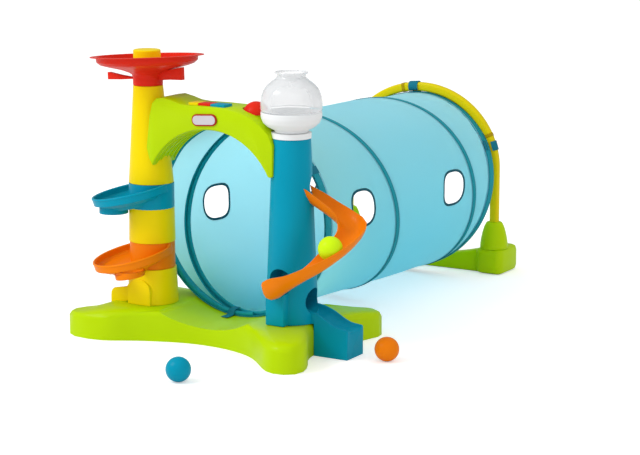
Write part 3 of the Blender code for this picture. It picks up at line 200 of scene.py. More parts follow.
# Front base. One hollow lime moulding, shaped like an X with four rounded feet and a saddle between
# the towers. It is blow moulded, so its skin is glossy with a faint ripple and its edges are soft.
def moulded(name, colour, gloss=0.32):
    # blow-moulded or injection-moulded plastic: faint ripple, fine grain, edges rubbed a little lighter
    made, r = made_of(name)
    place = r.place()
    broad = r.noise(place, 9.0, 2.0)
    ripple = r.noise(place, 42.0, 1.0)
    grain = r.noise(place, 1500.0, 1.0)
    softened = r.node("ShaderNodeBevel", {"Radius": 0.0014}, samples=6)
    facing = r.node("ShaderNodeNewGeometry").out("Normal")
    edge = 1 - r.node("ShaderNodeVectorMath", {0: softened, 1: facing}, out=1, operation="DOT_PRODUCT")
    base = r.mixed(broad, scaled(colour, 0.93), scaled(colour, 1.05, 0.0006))
    worn = r.mixed(r.held(edge * 1.6, 0.45), base, scaled(colour, 1.12, 0.03))
    bumps = r.node("ShaderNodeBump", {"Strength": 0.35, "Distance": 0.0004,
                                      "Height": ripple * 1.0 + grain * 0.10, "Normal": softened})
    skin = r.node("ShaderNodeBsdfPrincipled", {
        "Base Color": worn, "Roughness": gloss - 0.04 + broad * 0.06 + grain * 0.03, "Normal": bumps,
        "Coat Weight": 0.03, "Coat Roughness": 0.08, "Specular IOR Level": 0.07})
    r.surface(skin)
    return made


def smoothed(mesh, split=38):
    # shades the mesh smooth between the edges that turn by more than so many degrees
    mesh.shade_smooth()
    mesh.set_sharp_from_angle(angle=radians(split))


def unshaded(mesh):
    # drops the shading that came with the mesh
    for attribute in ("custom_normal", "sharp_face", "sharp_edge"):
        if attribute in mesh.attributes:
            mesh.attributes.remove(mesh.attributes[attribute])


def dressed(node, look):
    # a moulding that keeps its modelled shape, with its faces shaded smooth between its hard edges
    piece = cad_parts[node]
    piece.data.materials.clear()
    piece.data.materials.append(look)
    unshaded(piece.data)
    weld = piece.modifiers.new("Weld", "WELD")
    weld.merge_threshold = 0.00001
    edges = piece.modifiers.new("Edges", "EDGE_SPLIT")
    edges.split_angle = radians(32)


def clamped(share):
    # the share, held between 0 and 1
    return max(0, min(1, share))


def soft(share):
    # an even step from 0 to 1
    share = clamped(share)
    return share * share * (3 - 2 * share)


def placed(name, points, faces, *looks, edges=()):
    # a smooth mesh object at the origin
    mesh = bpy.data.meshes.new(name)
    mesh.from_pydata([tuple(point) for point in points], edges, faces)
    for look in looks:
        mesh.materials.append(look)
    mesh.shade_smooth()
    return in_scene(name, mesh)


def reshaped(node, look, split, moved):
    # a merged copy of the modelled shape with its points moved, shaded smooth between its hard edges
    shape = bmesh.new()
    shape.from_mesh(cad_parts[node].data)
    bmesh.ops.remove_doubles(shape, verts=shape.verts, dist=0.00001)
    for vert in shape.verts:
        vert.co = moved(vert.co)
    made = placed(node + "_skin", [], [], look)
    shape.to_mesh(made.data)
    shape.free()
    unshaded(made.data)
    smoothed(made.data, split)
    return made


def finished(piece):
    # keeps the mesh that the piece's modifiers make, and removes them
    bpy.context.view_layer.update()
    done = bpy.data.meshes.new_from_object(piece.evaluated_get(bpy.context.evaluated_depsgraph_get()))
    piece.modifiers.clear()
    piece.data = done
    return piece


def rounded(piece, width, segments, over=30):
    # rounds the piece's edges that turn by more than so many degrees
    change = piece.modifiers.new("Rounded", "BEVEL")
    change.width = width
    change.segments = segments
    change.limit_method = "ANGLE"
    change.angle_limit = radians(over)
    return finished(piece)


def carved(piece, *cutters, operation="DIFFERENCE"):
    # cuts these shapes out of the piece, or joins them to it, and removes them
    for cutter in cutters:
        change = piece.modifiers.new("Carved", "BOOLEAN")
        change.object = cutter
        change.operation = operation
        change.solver = "EXACT"
    finished(piece)
    for cutter in cutters:
        bpy.data.objects.remove(cutter)
    smoothed(piece.data)


def eased(outline, reach, steps=4):
    # the outline with its corners rounded, apart from those on the axis
    done = []
    for index, corner in enumerate(outline):
        spot = Vector(corner)
        if corner[0] == 0:
            done.append(spot)
            continue
        before = Vector(outline[index - 1]) - spot
        after = Vector(outline[(index + 1) % len(outline)]) - spot
        first = spot + before * min(0.5, reach / before.length)
        last = spot + after * min(0.5, reach / after.length)
        for step in range(steps + 1):
            share = step / steps
            done.append(first * (1 - share) ** 2 + spot * 2 * share * (1 - share) + last * share ** 2)
    return done


def faced_outward(piece):
    # turns every face of the piece outward
    shape = bmesh.new()
    shape.from_mesh(piece.data)
    bmesh.ops.recalc_face_normals(shape, faces=shape.faces)
    shape.to_mesh(piece.data)
    shape.free()
    return piece


def turned(name, outline, x, y, look, steps=96, moved=None):
    # a turned shape: outline points are (radius, height), and moved shifts each point of the result
    points, faces, rows = [], [], []
    for radius, height in outline:
        count = 1 if radius == 0 else steps
        rows.append(range(len(points), len(points) + count))
        for step in range(count):
            angle = 2 * pi * step / steps
            spot = Vector((x + radius * cos(angle), y + radius * sin(angle), height))
            points.append(moved(spot) if moved else spot)
    for index in range(len(rows)):
        low, high = rows[index], rows[(index + 1) % len(rows)]
        for step in range(steps):
            after = (step + 1) % steps
            face = [low[step % len(low)], low[after % len(low)]]
            face += [high[after % len(high)], high[step % len(high)]]
            face = list(dict.fromkeys(face))
            if len(face) > 2:
                faces.append(face)
    made = faced_outward(placed(name, points, faces, look))
    smoothed(made.data)
    return made


def swept(name, rings, look, closed=False):
    # a mesh through equal rings of points, its ends closed; UV runs along it and round it, in metres
    count = len(rings[0])
    points = [point for ring in rings for point in ring]
    faces = []
    last = len(rings) if closed else len(rings) - 1
    for ring in range(last):
        other = (ring + 1) % len(rings)
        for step in range(count):
            after = (step + 1) % count
            near, away = ring * count, other * count
            faces.append((near + step, near + after, away + after, away + step))
    if not closed:
        faces.append(tuple(reversed(range(count))))
        faces.append(tuple(range((len(rings) - 1) * count, len(rings) * count)))
    made = faced_outward(placed(name, points, faces, look))
    shape = bmesh.new()
    shape.from_mesh(made.data)
    layer = shape.loops.layers.uv.new("cloth")
    far = [0]
    for ring in range(len(rings)):
        far.append(far[-1] + (rings[(ring + 1) % len(rings)][0] - rings[ring][0]).length)
    wide = [0]
    for step in range(count):
        wide.append(wide[-1] + (rings[0][(step + 1) % count] - rings[0][step]).length)
    for face in shape.faces:
        steps = [loop.vert.index % count for loop in face.loops]
        marks = [loop.vert.index // count for loop in face.loops]
        for loop, step, mark in zip(face.loops, steps, marks):
            around = step + count if step == 0 and max(steps) == count - 1 and len(steps) == 4 else step
            along = mark + len(rings) if closed and mark == 0 and max(marks) == len(rings) - 1 else mark
            loop[layer].uv = (far[along], wide[around])
    shape.to_mesh(made.data)
    shape.free()
    return made


def grown(made, tree, values):
    # runs a shape recipe once on this object, with its sizes, and keeps the result as a plain mesh
    change = made.modifiers.new("Shape", "NODES")
    change.node_group = tree
    for item in tree.interface.items_tree:
        if item.name in values and item.in_out == "INPUT":
            change[item.identifier] = values[item.name]
    return finished(made)


def fitted(piece, slot, *nodes, body="front_stand"):
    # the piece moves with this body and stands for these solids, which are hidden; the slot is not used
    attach(piece, body)
    if nodes:
        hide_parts(*nodes)


lime = moulded("lime_plastic", screen(184, 218, 0))
LEFT_OUT, LEFT_BENT, LEFT_HIGH = 0.0430, 0.026, 0.059
RIGHT_FORWARD, RIGHT_BACK, RIGHT_IN, CHUTE_SIDE_IN = 0.020, 0.042, 0.010, 0.013


def longer_feet(spot):
    # the left feet reach further out and slope down beside the tower, the front right foot reaches
    # forward and the back right foot back, and the side beside the chute is narrower
    left, right = soft((-spot.x - 0.230) / 0.095), soft((spot.x - 0.120) / 0.140)
    front, back = soft((-spot.y - 0.110) / 0.140), soft((spot.y + 0.020) / 0.100)
    bent = LEFT_BENT * soft((-spot.x - 0.100) / 0.200) * soft((-spot.y - 0.090) / 0.120)
    low = max(0, spot.z - LEFT_HIGH) * soft((-spot.x - 0.258) / 0.050)
    beside = soft((spot.x - 0.235) / 0.040) * soft((spot.y + 0.185) / 0.050)
    beside *= soft((-0.020 - spot.y) / 0.050)
    out = -LEFT_OUT * left - RIGHT_IN * right * back - CHUTE_SIDE_IN * beside
    return spot + Vector((out, bent + RIGHT_BACK * right * back - RIGHT_FORWARD * right * front, -low))


fitted(reshaped("front_base", lime, 40, longer_feet), "lime", "front_base")

# Yellow tower. Three lengths of glossy yellow tube that taper upward and push into the trays between
# them, with a squared outlet at the foot and a plain cap on top.
TOWER_X, TOWER_Y = 0.2025, -0.090
yellow = moulded("yellow_plastic", screen(246, 218, 0))


def lower_outlet(spot):
    # the outlet's block follows the base down, and the panel and the tube end under the orange pan
    out = soft((-spot.x - 0.262) / 0.008)
    panel = 0.0040 * soft((spot.z - 0.118) / 0.026) * (spot.y < -0.138) * (spot.z < 0.150)
    top = 0.0110 * (spot.z > 0.160) * (spot.y < -0.130) * (spot.x < -0.196)
    return spot - Vector((0, 0, panel + top + out * (0.0160 - 0.0100 * soft((spot.z - 0.077) / 0.036))))


def leaned(spot):
    # the tower's upper length leans a little to the left with what stands on it
    return spot - Vector((0.0078 * soft(0.5 + (spot.z - 0.50) / 0.52) ** 2, 0, 0))


lower = reshaped("yellow_lower_column", yellow, 32, lower_outlet)
fitted(lower, "yellow", "yellow_lower_column")
for node, low, low_radius, high, high_radius in (("yellow_middle_column", 0.2303, 0.0575, 0.3157, 0.0560),
                                                 ("yellow_upper_column", 0.3765, 0.0555, 0.6162, 0.0366)):
    column = [(0, low), (low_radius, low), (high_radius, high), (0, high)]
    column = turned(node + "_skin", eased(column, 0.0014), -TOWER_X, TOWER_Y, yellow, moved=leaned)
    fitted(column, "yellow", node)
cap = eased([(0, 0.6440), (0.0340, 0.6440), (0.0336, 0.7030), (0, 0.7030)], 0.0040, 6)
cap = turned("cap_skin", cap, -TOWER_X, TOWER_Y, yellow, moved=leaned)
fitted(cap, "yellow", "yellow_cap")

# Trays and top dish. Round pans with a raised rim, moulded in one with the collar that the tower
# passes through. The teal and orange pans tilt, and the red dish on the tower's top tips a little.
teal = moulded("teal_plastic", screen(0, 150, 180))
orange = moulded("orange_plastic", screen(244, 130, 8))
red = moulded("red_plastic", screen(226, 44, 24))


def lower_collar(spot):
    # the teal collar ends a little lower than it is modelled
    away = Vector((spot.x + TOWER_X, spot.y - TOWER_Y)).length
    return spot - Vector((0, 0, 0.0130 * soft((spot.z - 0.374) / 0.012) * (away < 0.0585)))


fitted(reshaped("teal_tray", teal, 32, lower_collar), "teal", "teal_tray")
SPOUT_X, SPOUT_Y, SPOUT_RADIUS, SPOUT_END_Z = -0.2075, -0.179, 0.036, 0.1563


def level_tray(spot):
    # the orange pan hangs a little lower in front than behind, and its spout ends close under it
    away = Vector((spot.x + TOWER_X, spot.y - TOWER_Y)).length
    dip = 0.0055 + 0.0186 * (spot.x + 0.2375) - 0.0714 * (spot.y + 0.125)
    at_spout = Vector((spot.x - SPOUT_X, spot.y - SPOUT_Y)).length < SPOUT_RADIUS + 0.0015
    lift = 0.175 * (spot.x - SPOUT_X + SPOUT_RADIUS) * (at_spout and spot.z < SPOUT_END_Z)
    return spot + Vector((0, 0, lift - dip * soft((away - 0.0585) / 0.002)))


fitted(reshaped("orange_tray", orange, 32, level_tray), "orange", "orange_tray")
PAN_RADIUS, BEAD_RADIUS = 0.0985, 0.0032
tilt = Euler((radians(5.5), radians(-11), 0)).to_matrix()
for name, look, slot, x, y, z in (("teal_rim", teal, "teal", -0.044, -0.022, 0.3550),
                                  ("orange_rim", orange, "orange", -0.035, -0.035, 0.2050)):
    middle = Vector((x - TOWER_X, y + TOWER_Y, z))
    bead = [(PAN_RADIUS + BEAD_RADIUS * cos(pi * step / 6), BEAD_RADIUS * sin(pi * step / 6))
            for step in range(-1, 7)]
    bead += [(PAN_RADIUS - BEAD_RADIUS, -0.0015), (PAN_RADIUS, -0.0022), (PAN_RADIUS - 0.0012, -0.0165),
             (PAN_RADIUS + 0.0006, -0.0170), (PAN_RADIUS + 0.0020, -0.0022)]

    def leaning(spot):
        # the rim leans with its pan
        spot = tilt @ spot + middle
        return level_tray(spot) if look == orange else spot

    fitted(turned(name, bead, 0, 0, look, moved=leaning), slot)
BALL_HOLE = 0.0313
spout_tilt = Euler((radians(4), radians(-9), 0)).to_matrix()
spout_middle = Vector((SPOUT_X, SPOUT_Y, 0.1526))
spout = eased([(BALL_HOLE, 0), (0.0363, 0), (0.0363, 0.0125), (BALL_HOLE, 0.0125)], 0.0008)
spout = turned("orange_spout", spout, 0, 0, orange, moved=lambda spot: spout_tilt @ spot + spout_middle)
fitted(spout, "orange")
DISH_TIP = Vector((0.056, -0.043, 0))


def tipped(spot):
    # the dish and its fins tip up a little toward the front right, from the hub outward
    away = spot - Vector((-TOWER_X, TOWER_Y, spot.z))
    free = clamped((away.length - 0.036) / 0.030)
    return leaned(spot) + Vector((0, 0, away.dot(DISH_TIP) * free))


inside = [(0, 0.6440), (0.0345, 0.6445), (0.0712, 0.6580), (0.1010, 0.6655), (0.1140, 0.6705),
          (0.1205, 0.6770), (0.1222, 0.6882)]
outside = [(0.1395, 0.6880), (0.1400, 0.6862), (0.1250, 0.6858), (0.1238, 0.6745), (0.1150, 0.6672),
           (0.1015, 0.6625), (0.0712, 0.6550), (0.0470, 0.6480), (0.0385, 0.6425), (0.0368, 0.6360),
           (0.0366, 0.6168), (0, 0.6168)]
dish = turned("dish_skin", eased(inside + outside, 0.0016), -TOWER_X, TOWER_Y, red, 128, tipped)
DROP_X, DROP_Y, DROP_RADIUS = -0.2605, -0.150, 0.0315
drop = [(0, 0.60), (DROP_RADIUS, 0.60), (DROP_RADIUS, 0.72), (0, 0.72)]
carved(dish, turned("dish_drop_cutter", drop, DROP_X, DROP_Y, red, moved=leaned))
fitted(dish, "red", "red_dish")
FIN_HALF, HUB_RADIUS = 0.0075, 0.0368
for node, side, reach, root, tip in (("dish_fin_left", -1, 0.116, (0.6290, 0.6320), (0.6290, 0.6475)),
                                     ("dish_fin_right", 1, 0.104, (0.6300, 0.6480), (0.6285, 0.6600))):
    corners = []
    for share in (0, 0.5, 1):
        x = -TOWER_X + side * (HUB_RADIUS + (reach - HUB_RADIUS) * share)
        for z in (root[0] + (tip[0] - root[0]) * share, root[1] + (tip[1] - root[1]) * share):
            for y in (TOWER_Y - FIN_HALF, TOWER_Y + FIN_HALF):
                corners.append(tipped(Vector((x, y, z))))
    faces = [(0, 1, 3, 2), (8, 10, 11, 9)]
    for start in (0, 4):
        for a, b in ((0, 1), (1, 3), (3, 2), (2, 0)):
            faces.append((start + a, start + 4 + a, start + 4 + b, start + b))
    fin = faced_outward(placed(node + "_skin", corners, faces, red))
    fitted(rounded(fin, 0.0012, 3, 40), "red", node)

# Teal tower and chute. A tapered tube with a squared nose at its foot, holes for the balls, and a short
# open chute that carries a ball out onto the floor.
EXIT_Y, SEAT_Z, STEM_TOP_Z, CUP_Z = -0.065, 0.0775, 0.5177, 0.3700
stem = [(0, SEAT_Z), (0.0635, SEAT_Z), (0.0460, STEM_TOP_Z),
        (BALL_HOLE, STEM_TOP_Z), (BALL_HOLE, CUP_Z), (0, CUP_Z)]
tower = turned("tower_skin", eased(stem, 0.0012, 2), TOWER_X, TOWER_Y, teal, 128)
corners = [(TOWER_X + x, y, z) for x in (-0.027, 0.024) for y in (-0.168, TOWER_Y) for z in (SEAT_Z, 0.156)]
faces = [(0, 1, 3, 2), (4, 6, 7, 5), (0, 4, 5, 1), (2, 3, 7, 6), (0, 2, 6, 4), (1, 5, 7, 3)]
nose = rounded(placed("nose", corners, faces, teal), 0.0030, 4)
carved(tower, nose, operation="UNION")
well = [(0, 0.099), (BALL_HOLE, 0.099), (BALL_HOLE, 0.180), (0, 0.180)]
cutters = [turned("low_well", well, TOWER_X, TOWER_Y, teal)]
# the ball holes: where each starts, the way it opens in degrees from the right, and its length
for y, z, way, far in ((TOWER_Y, 0.402, 38, 0.09), (TOWER_Y, 0.180, -90, 0.12), (EXIT_Y, 0.130, -20, 0.09)):
    aim = Euler((0, pi / 2, radians(way))).to_matrix()
    spot = Vector((TOWER_X, y, z))
    bore = [(0, 0), (BALL_HOLE, 0), (BALL_HOLE, far), (0, far)]
    cutters.append(turned("ball_hole", bore, 0, 0, teal, moved=lambda point: aim @ point + spot))
carved(tower, *cutters)
fitted(tower, "teal", "teal_tower")
CHUTE_HALF, CHUTE_EDGE, ON_BASE_Z = 0.038, 0.0030, SEAT_Z + 0.0001
rings = []
# along the chute: x, the top of its sides, the groove's bottom, half the groove's width, its underside
for x, top, bottom, half, under in (
        (0.2345, 0.1110, 0.0975, 0.0290, ON_BASE_Z), (0.2450, 0.1100, 0.0955, 0.0290, ON_BASE_Z),
        (0.2600, 0.1075, 0.0900, 0.0295, ON_BASE_Z), (0.2705, 0.1040, 0.0860, 0.0300, ON_BASE_Z),
        (0.2706, 0.1040, 0.0860, 0.0300, 0), (0.2835, 0.0990, 0.0800, 0.0305, 0),
        (0.2950, 0.0930, 0.0740, 0.0310, 0), (0.3070, 0.0862, 0.0690, BALL_HOLE, 0),
        (0.3190, 0.0800, 0.0655, BALL_HOLE, 0), (0.3300, 0.0758, 0.0638, BALL_HOLE, 0),
        (0.3420, 0.0735, 0.0630, BALL_HOLE, 0), (0.3560, 0.0722, 0.0625, BALL_HOLE, 0),
        (0.3600, 0.0718, 0.0622, BALL_HOLE, 0), (0.3614, 0.0708, 0.0616, BALL_HOLE, 0),
        (0.3620, 0.0695, 0.0608, BALL_HOLE, 0)):
    side = [(CHUTE_HALF, under), (CHUTE_HALF, top - CHUTE_EDGE), (CHUTE_HALF - 0.0009, top - 0.0009),
            (CHUTE_HALF - CHUTE_EDGE, top), (half + 0.0015, top), (half + 0.0004, top - 0.0006)]
    start = top - 0.0025
    groove = [(half * cos(pi * step / 14), start - (start - bottom) * sin(pi * step / 14) ** 0.8)
              for step in range(1, 14)]
    outline = side + groove + [(-y, z) for y, z in reversed(side)]
    rings.append([Vector((x, EXIT_Y + y, z)) for y, z in outline])
chute = swept("chute_skin", rings, teal)
smoothed(chute.data)
fitted(chute, "teal", "chute")

# Ball bowl. A white collar and a shallow white bowl sit on the teal tower, and a clear blown globe
# with a lipped neck stands in the bowl.
white = moulded("white_plastic", screen(240, 242, 243), 0.28)
dressed("white_collar", white)
bowl = [(0.0320, 0.5313), (0.0340, 0.5430), (0.0540, 0.5520), (0.0670, 0.5680), (0.0692, 0.5798),
        (0.0722, 0.5798), (0.0730, 0.5770), (0.0722, 0.5665), (0.0670, 0.5540), (0.0580, 0.5455),
        (0.0480, 0.5400), (0.0405, 0.5370), (0.0400, 0.5313)]
bowl = turned("bowl_skin", eased(bowl, 0.0030), TOWER_X, TOWER_Y, white)
fitted(bowl, "white", "white_bowl")
clear, r = made_of("clear_plastic")
place = r.place()
haze = r.noise(place, 30.0, 2.0)
rim = r.node("ShaderNodeLayerWeight", {"Blend": 0.35}, out=1)
ripple = r.node("ShaderNodeBump", {"Strength": 0.2, "Distance": 0.0006, "Height": haze})
skin = r.node("ShaderNodeBsdfPrincipled", {
    "Base Color": screen(238, 240, 242), "Roughness": 0.06 + haze * 0.05, "Normal": ripple,
    "Alpha": 0.17 + rim * 0.50 + haze * 0.06, "IOR": 1.49, "Coat Weight": 0.5})
r.surface(skin)
GLOBE_WALL, GLOBE_FOOT_Z = 0.0022, 0.5803
globe = [(0.0385, 0.6750), (0.0388, 0.6728), (0.0352, 0.6695), (0.0342, 0.6645), (0.0352, 0.6600),
         (0.0440, 0.6530), (0.0570, 0.6428), (0.0665, 0.6300), (0.0718, 0.6150), (0.0735, 0.5990),
         (0.0728, GLOBE_FOOT_Z)]
shell = eased(globe, 0.0050)
shell += [Vector((spot.x - GLOBE_WALL, max(spot.y - GLOBE_WALL * 0.4, GLOBE_FOOT_Z)))
          for spot in reversed(shell)]
shell = turned("globe_skin", shell, TOWER_X, TOWER_Y, clear, 128)
fitted(shell, "clear", "clear_globe")


# Slide. One orange trough that leaves the teal tower at the top hole, swings round and brings a ball
# back to the lower hole.
def deeper_end(spot):
    # the lower end is a deeper cup, and it stops a little sooner
    end = soft((0.275 - spot.x) / 0.070) if spot.z < 0.25 else 0
    over = (spot.z - 0.1495 - 0.54 * max(0, spot.x - 0.2045)) / 0.0295
    shorter = 0.012 * end * soft((0.2045 - spot.x) / 0.035)
    return spot + Vector((shorter, 0, end * (0.018 * soft(over) - 0.004)))


fitted(reshaped("slide", orange, 45, deeper_end), "orange", "slide")

# Arch. A deep lime moulding between the towers with three keys and a domed button on its top, a
# bare oval plaque on its front and a cover on its back.
for node, look in (("arch", lime), ("battery_cover", lime), ("key_yellow", yellow), ("key_red", red),
                   ("key_teal", teal)):
    dressed(node, look)
DOME_X, DOME_Y, DOME_RADIUS, DOME_RISE, DOME_Z = 0.096, -0.077, 0.0320, 0.0310, 0.5640
dome = [(DOME_RADIUS * cos(pi * step / 32), DOME_Z + DOME_RISE * sin(pi * step / 32)) for step in range(16)]
dome += [(0, DOME_Z + DOME_RISE), (0, DOME_Z - 0.0030), (DOME_RADIUS, DOME_Z - 0.0030)]
fitted(turned("dome_skin", dome, DOME_X, DOME_Y, red), "red", "dome_button", body="dome")
flange = eased([(0.0326, 0.5655), (0.0352, 0.5655), (0.0352, 0.5692), (0.0326, 0.5692)], 0.0010)
fitted(turned("dome_flange", flange, DOME_X, DOME_Y, red), "red")
RIBS, RIB_STEP, RIB_HALF, RIB_PROUD = 5, 0.0195, 0.0015, 0.0024
ARCH_RADIUS, ARCH_CENTRE_Z, FIRST_RIB = 0.187, 0.340, -0.129
rib_rings = []
for step in range(73):
    angle = radians(-59 + 121.5 * step / 72)
    ring = []
    for aside, inward in ((-1.4, -0.0006), (-1, 0.5), (-0.6, 1), (0.6, 1), (1, 0.5), (1.4, -0.0006)):
        radius = ARCH_RADIUS - inward * RIB_PROUD
        y = FIRST_RIB + aside * RIB_HALF
        ring.append(Vector((radius * sin(angle), y, ARCH_CENTRE_Z + radius * cos(angle))))
    rib_rings.append(ring)


def shape_recipe(name, kinds, *numbers):
    # a new node tree that makes a shape, the recipe to fill it, and the way to its named inputs: first
    # those of other kinds, then the plain numbers
    tree = bpy.data.node_groups.new(name, "GeometryNodeTree")
    for label, kind in {**kinds, **dict.fromkeys(numbers, "Float")}.items():
        tree.interface.new_socket(name=label, in_out="INPUT", socket_type="NodeSocket" + kind)
    tree.interface.new_socket(name="Geometry", in_out="OUTPUT", socket_type="NodeSocketGeometry")
    made = Recipe(tree)
    return tree, made, made.node("NodeGroupInput").out


copier, r, given = shape_recipe("row", {"Geometry": "Geometry", "Count": "Int", "Step": "Vector"})
line = r.node("GeometryNodeMeshLine", {"Count": given("Count"), "Offset": given("Step")})
copies = r.node("GeometryNodeInstanceOnPoints", {"Points": line, "Instance": given("Geometry")})
copies = r.node("GeometryNodeRealizeInstances", {"Geometry": copies})
r.shape(copies, lime)
ribs = swept("arch_ribs", rib_rings, lime)
fitted(grown(ribs, copier, {"Count": RIBS, "Step": (0, RIB_STEP, 0)}), "lime")


def middle_of(node):
    # the middle of the modelled shape's box
    spots = [spot.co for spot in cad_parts[node].data.vertices]
    return [(min(spot[axis] for spot in spots) + max(spot[axis] for spot in spots)) / 2
            for axis in range(3)]


PLAQUE_X, _, PLAQUE_Z = middle_of("plaque_rim")
PLAQUE_TURN, PLAQUE_ASIDE = radians(4.0), 0.0064


def level_plaque(spot):
    # the plaque is turned a little on the arch and sits nearer to its middle
    x, z = spot.x - PLAQUE_X, spot.z - PLAQUE_Z
    return Vector((PLAQUE_X + PLAQUE_ASIDE + x * cos(PLAQUE_TURN) - z * sin(PLAQUE_TURN), spot.y,
                   PLAQUE_Z + x * sin(PLAQUE_TURN) + z * cos(PLAQUE_TURN)))


for node, look, slot in (("plaque_rim", moulded("dark_red_plastic", screen(178, 46, 26)), "red"),
                         ("plaque_face", moulded("plaque_white", screen(204, 200, 206)), "white")):
    fitted(reshaped(node, look, 32, level_plaque), slot, node)

# Loose balls. Three hollow blown balls with a plain smooth skin. The teal and the orange one lie on the
# floor, and the green one rests in the slide.
lime_ball = moulded("lime_ball_plastic", screen(208, 246, 20))
BALL_RADIUS = 0.0293
for node, look, slot, body in (("teal_ball", teal, "teal", "loose_teal_ball"),
                               ("orange_ball", orange, "orange", "loose_orange_ball"),
                               ("green_ball", lime_ball, "lime_ball", "loose_green_ball")):
    x, y, z = middle_of(node)
    half = [(BALL_RADIUS * sin(pi * step / 48), z - BALL_RADIUS * cos(pi * step / 48))
            for step in range(1, 48)]
    outline = [(0, z - BALL_RADIUS), *half, (0, z + BALL_RADIUS)]
    fitted(turned(node + "_skin", outline, x, y, look), slot, node, body=body)

# Tunnel cloth. One sleeve of thin coated nylon, sewn into a tube round the coil. It pulls in a little
# between the coil's turns, puckers along the seams, and has two bound windows in each side. The wire
# carries it.
HOOP, LENGTH = 0.240, 0.905
FRONT_Z, REAR_Z, LEAN = 0.289, 0.2534, 0.20
LEAD, START, TURNS = 0.011, -0.152, 2
CLOTH_IN, CLOTH_THICK, HEM = 0.2453, 0.0007, 0.005
PULL_IN, FLAT = 0.0055, 0.0125
AROUND, ALONG = 256, 168
WINDOWS = ((1, 0.190, 0.307), (1, 0.680, 0.2825), (-1, 0.257, 0.268), (-1, 0.720, 0.262))
WINDOW_HALF_LONG, WINDOW_HALF_HIGH, WINDOW_SQUARE = 0.0540, 0.0425, 2.8


def on_tunnel(y, angle, radius):
    # a point of the leaning tube, its angle counted from the bottom
    share = y / LENGTH
    lean = LEAN * clamped(share) ** 2
    up = -radius * cos(angle)
    middle_z = FRONT_Z + (REAR_Z - FRONT_Z) * share
    return Vector((-radius * sin(angle), y + up * sin(lean), middle_z + up * cos(lean)))


def wire_y(turn):
    # how far along the wire has come after so many turns
    return LEAD * (clamped(turn + 1) + clamped(turn - TURNS)) + (LENGTH - 2 * LEAD) * clamped(turn / TURNS)


def cloth_radius(y, angle):
    # the cloth's radius: drawn in between the turns, with small puckers beside each seam
    part = ((angle - START) / (2 * pi)) % 1
    seams = [LEAD] + [wire_y(part + turn) for turn in range(TURNS)] + [LENGTH - LEAD]
    radius = CLOTH_IN
    for low, high in zip(seams, seams[1:]):
        if low < y < high and high - low > 0.004:
            share = (y - low) / (high - low)
            span = (high - low) * TURNS / LENGTH
            radius -= PULL_IN * 4 * share * (1 - share) * span
            near = min(y - low, high - y)
            fade = min(1, max(0, near - FLAT) / 0.012) * max(0, 1 - near / 0.11) ** 2
            round_it = 6 * sin(angle) + 9, 6 * cos(angle)
            ripple = noise.noise(Vector((round_it[0] * 1.7, round_it[1] * 1.7, 3 * y)))
            slack = noise.noise(Vector((round_it[0] * 0.35, round_it[1] * 0.35, 5 * y + 2)))
            radius += 0.0030 * ripple * fade + 0.0048 * slack * min(1, max(0, near - FLAT) / 0.05)
    return radius


def window_middle(side, y, z):
    # the angle at which a window's middle lies on this side of the tube
    centre = FRONT_Z + (REAR_Z - FRONT_Z) * y / LENGTH
    return (1.5 * pi if side > 0 else 0.5 * pi) - side * (z - centre) / HOOP


def woven(name, colour, lit, pitch, through, relief=0.00025, contrast=0.10, sheen=0.2, shade_near_floor=None):
    # plain-woven cloth on the piece's own UV, in metres; where a low shade colour is given, painted shade
    # deepens its colour toward the floor and leaves it paler higher up, where the light falls; the light
    # that comes through it takes the colour lit
    made, r = made_of(name)
    place = r.node("ShaderNodeUVMap", uv_map="cloth")
    parts = r.node("ShaderNodeSeparateXYZ", {0: place})
    warp = (parts * (2 * pi / pitch)).of("SINE")
    weft = (parts.out(1) * (2 * pi / pitch)).of("SINE")
    over = warp * weft * 0.5 + 0.5
    broad = r.noise(place, 5.0, 3.0)
    slub = r.noise(place, 160.0, 2.0)
    drawn = r.node("ShaderNodeVectorMath", {0: place, 1: (16.0, 4.0, 0.0)}, operation="MULTIPLY")
    creases = r.noise(drawn, 1.0, 3.0)
    # painted shade: up to half a metre above the floor the colour moves toward the low shade colour,
    # deepest at the floor, where less light reaches
    up = r.node("ShaderNodeSeparateXYZ", {0: r.place()}).out(2)
    lit_share = r.held(up * 2.0)
    shades = [r.mixed(lit_share, scaled(shade_near_floor or colour, keep), scaled(colour, keep))
              for keep in (1 - contrast, 1)]
    # the weave, random tone and slubs vary the colour, and the crease pattern darkens it a little as
    # painted crease shade
    base = r.mixed(over * 0.6 + broad * 0.5 + slub * 0.25 + creases * 0.5 - 0.45, *shades)
    bumps = r.node("ShaderNodeBump", {"Strength": 0.5, "Distance": relief,
                                      "Height": over + slub * 0.5 + creases * 9.0})
    skin = r.node("ShaderNodeBsdfPrincipled", {
        "Base Color": base, "Roughness": 0.62 + over * 0.12, "Normal": bumps, "Sheen Weight": sheen,
        "Sheen Roughness": 0.4, "Specular IOR Level": 0.2})
    behind = r.node("ShaderNodeBsdfTranslucent", {"Color": lit, "Normal": bumps})
    both = r.node("ShaderNodeMixShader", {0: through, 1: skin, 2: behind})
    r.surface(both)
    return made


# the outer face, its colour deepened toward the floor by painted shade
outer_cloth = woven("tunnel_cloth", screen(200, 250, 255), screen(190, 246, 255), 0.0022, 0.64, sheen=0.3,
                    shade_near_floor=screen(0, 210, 238))
# the inner face of the same cloth in paler colours: painted light for the light that shines through from
# outside
lit_inner_face_cloth = woven("tunnel_cloth_lit_inner_face", screen(246, 252, 253), screen(238, 252, 255), 0.0022, 0.93)

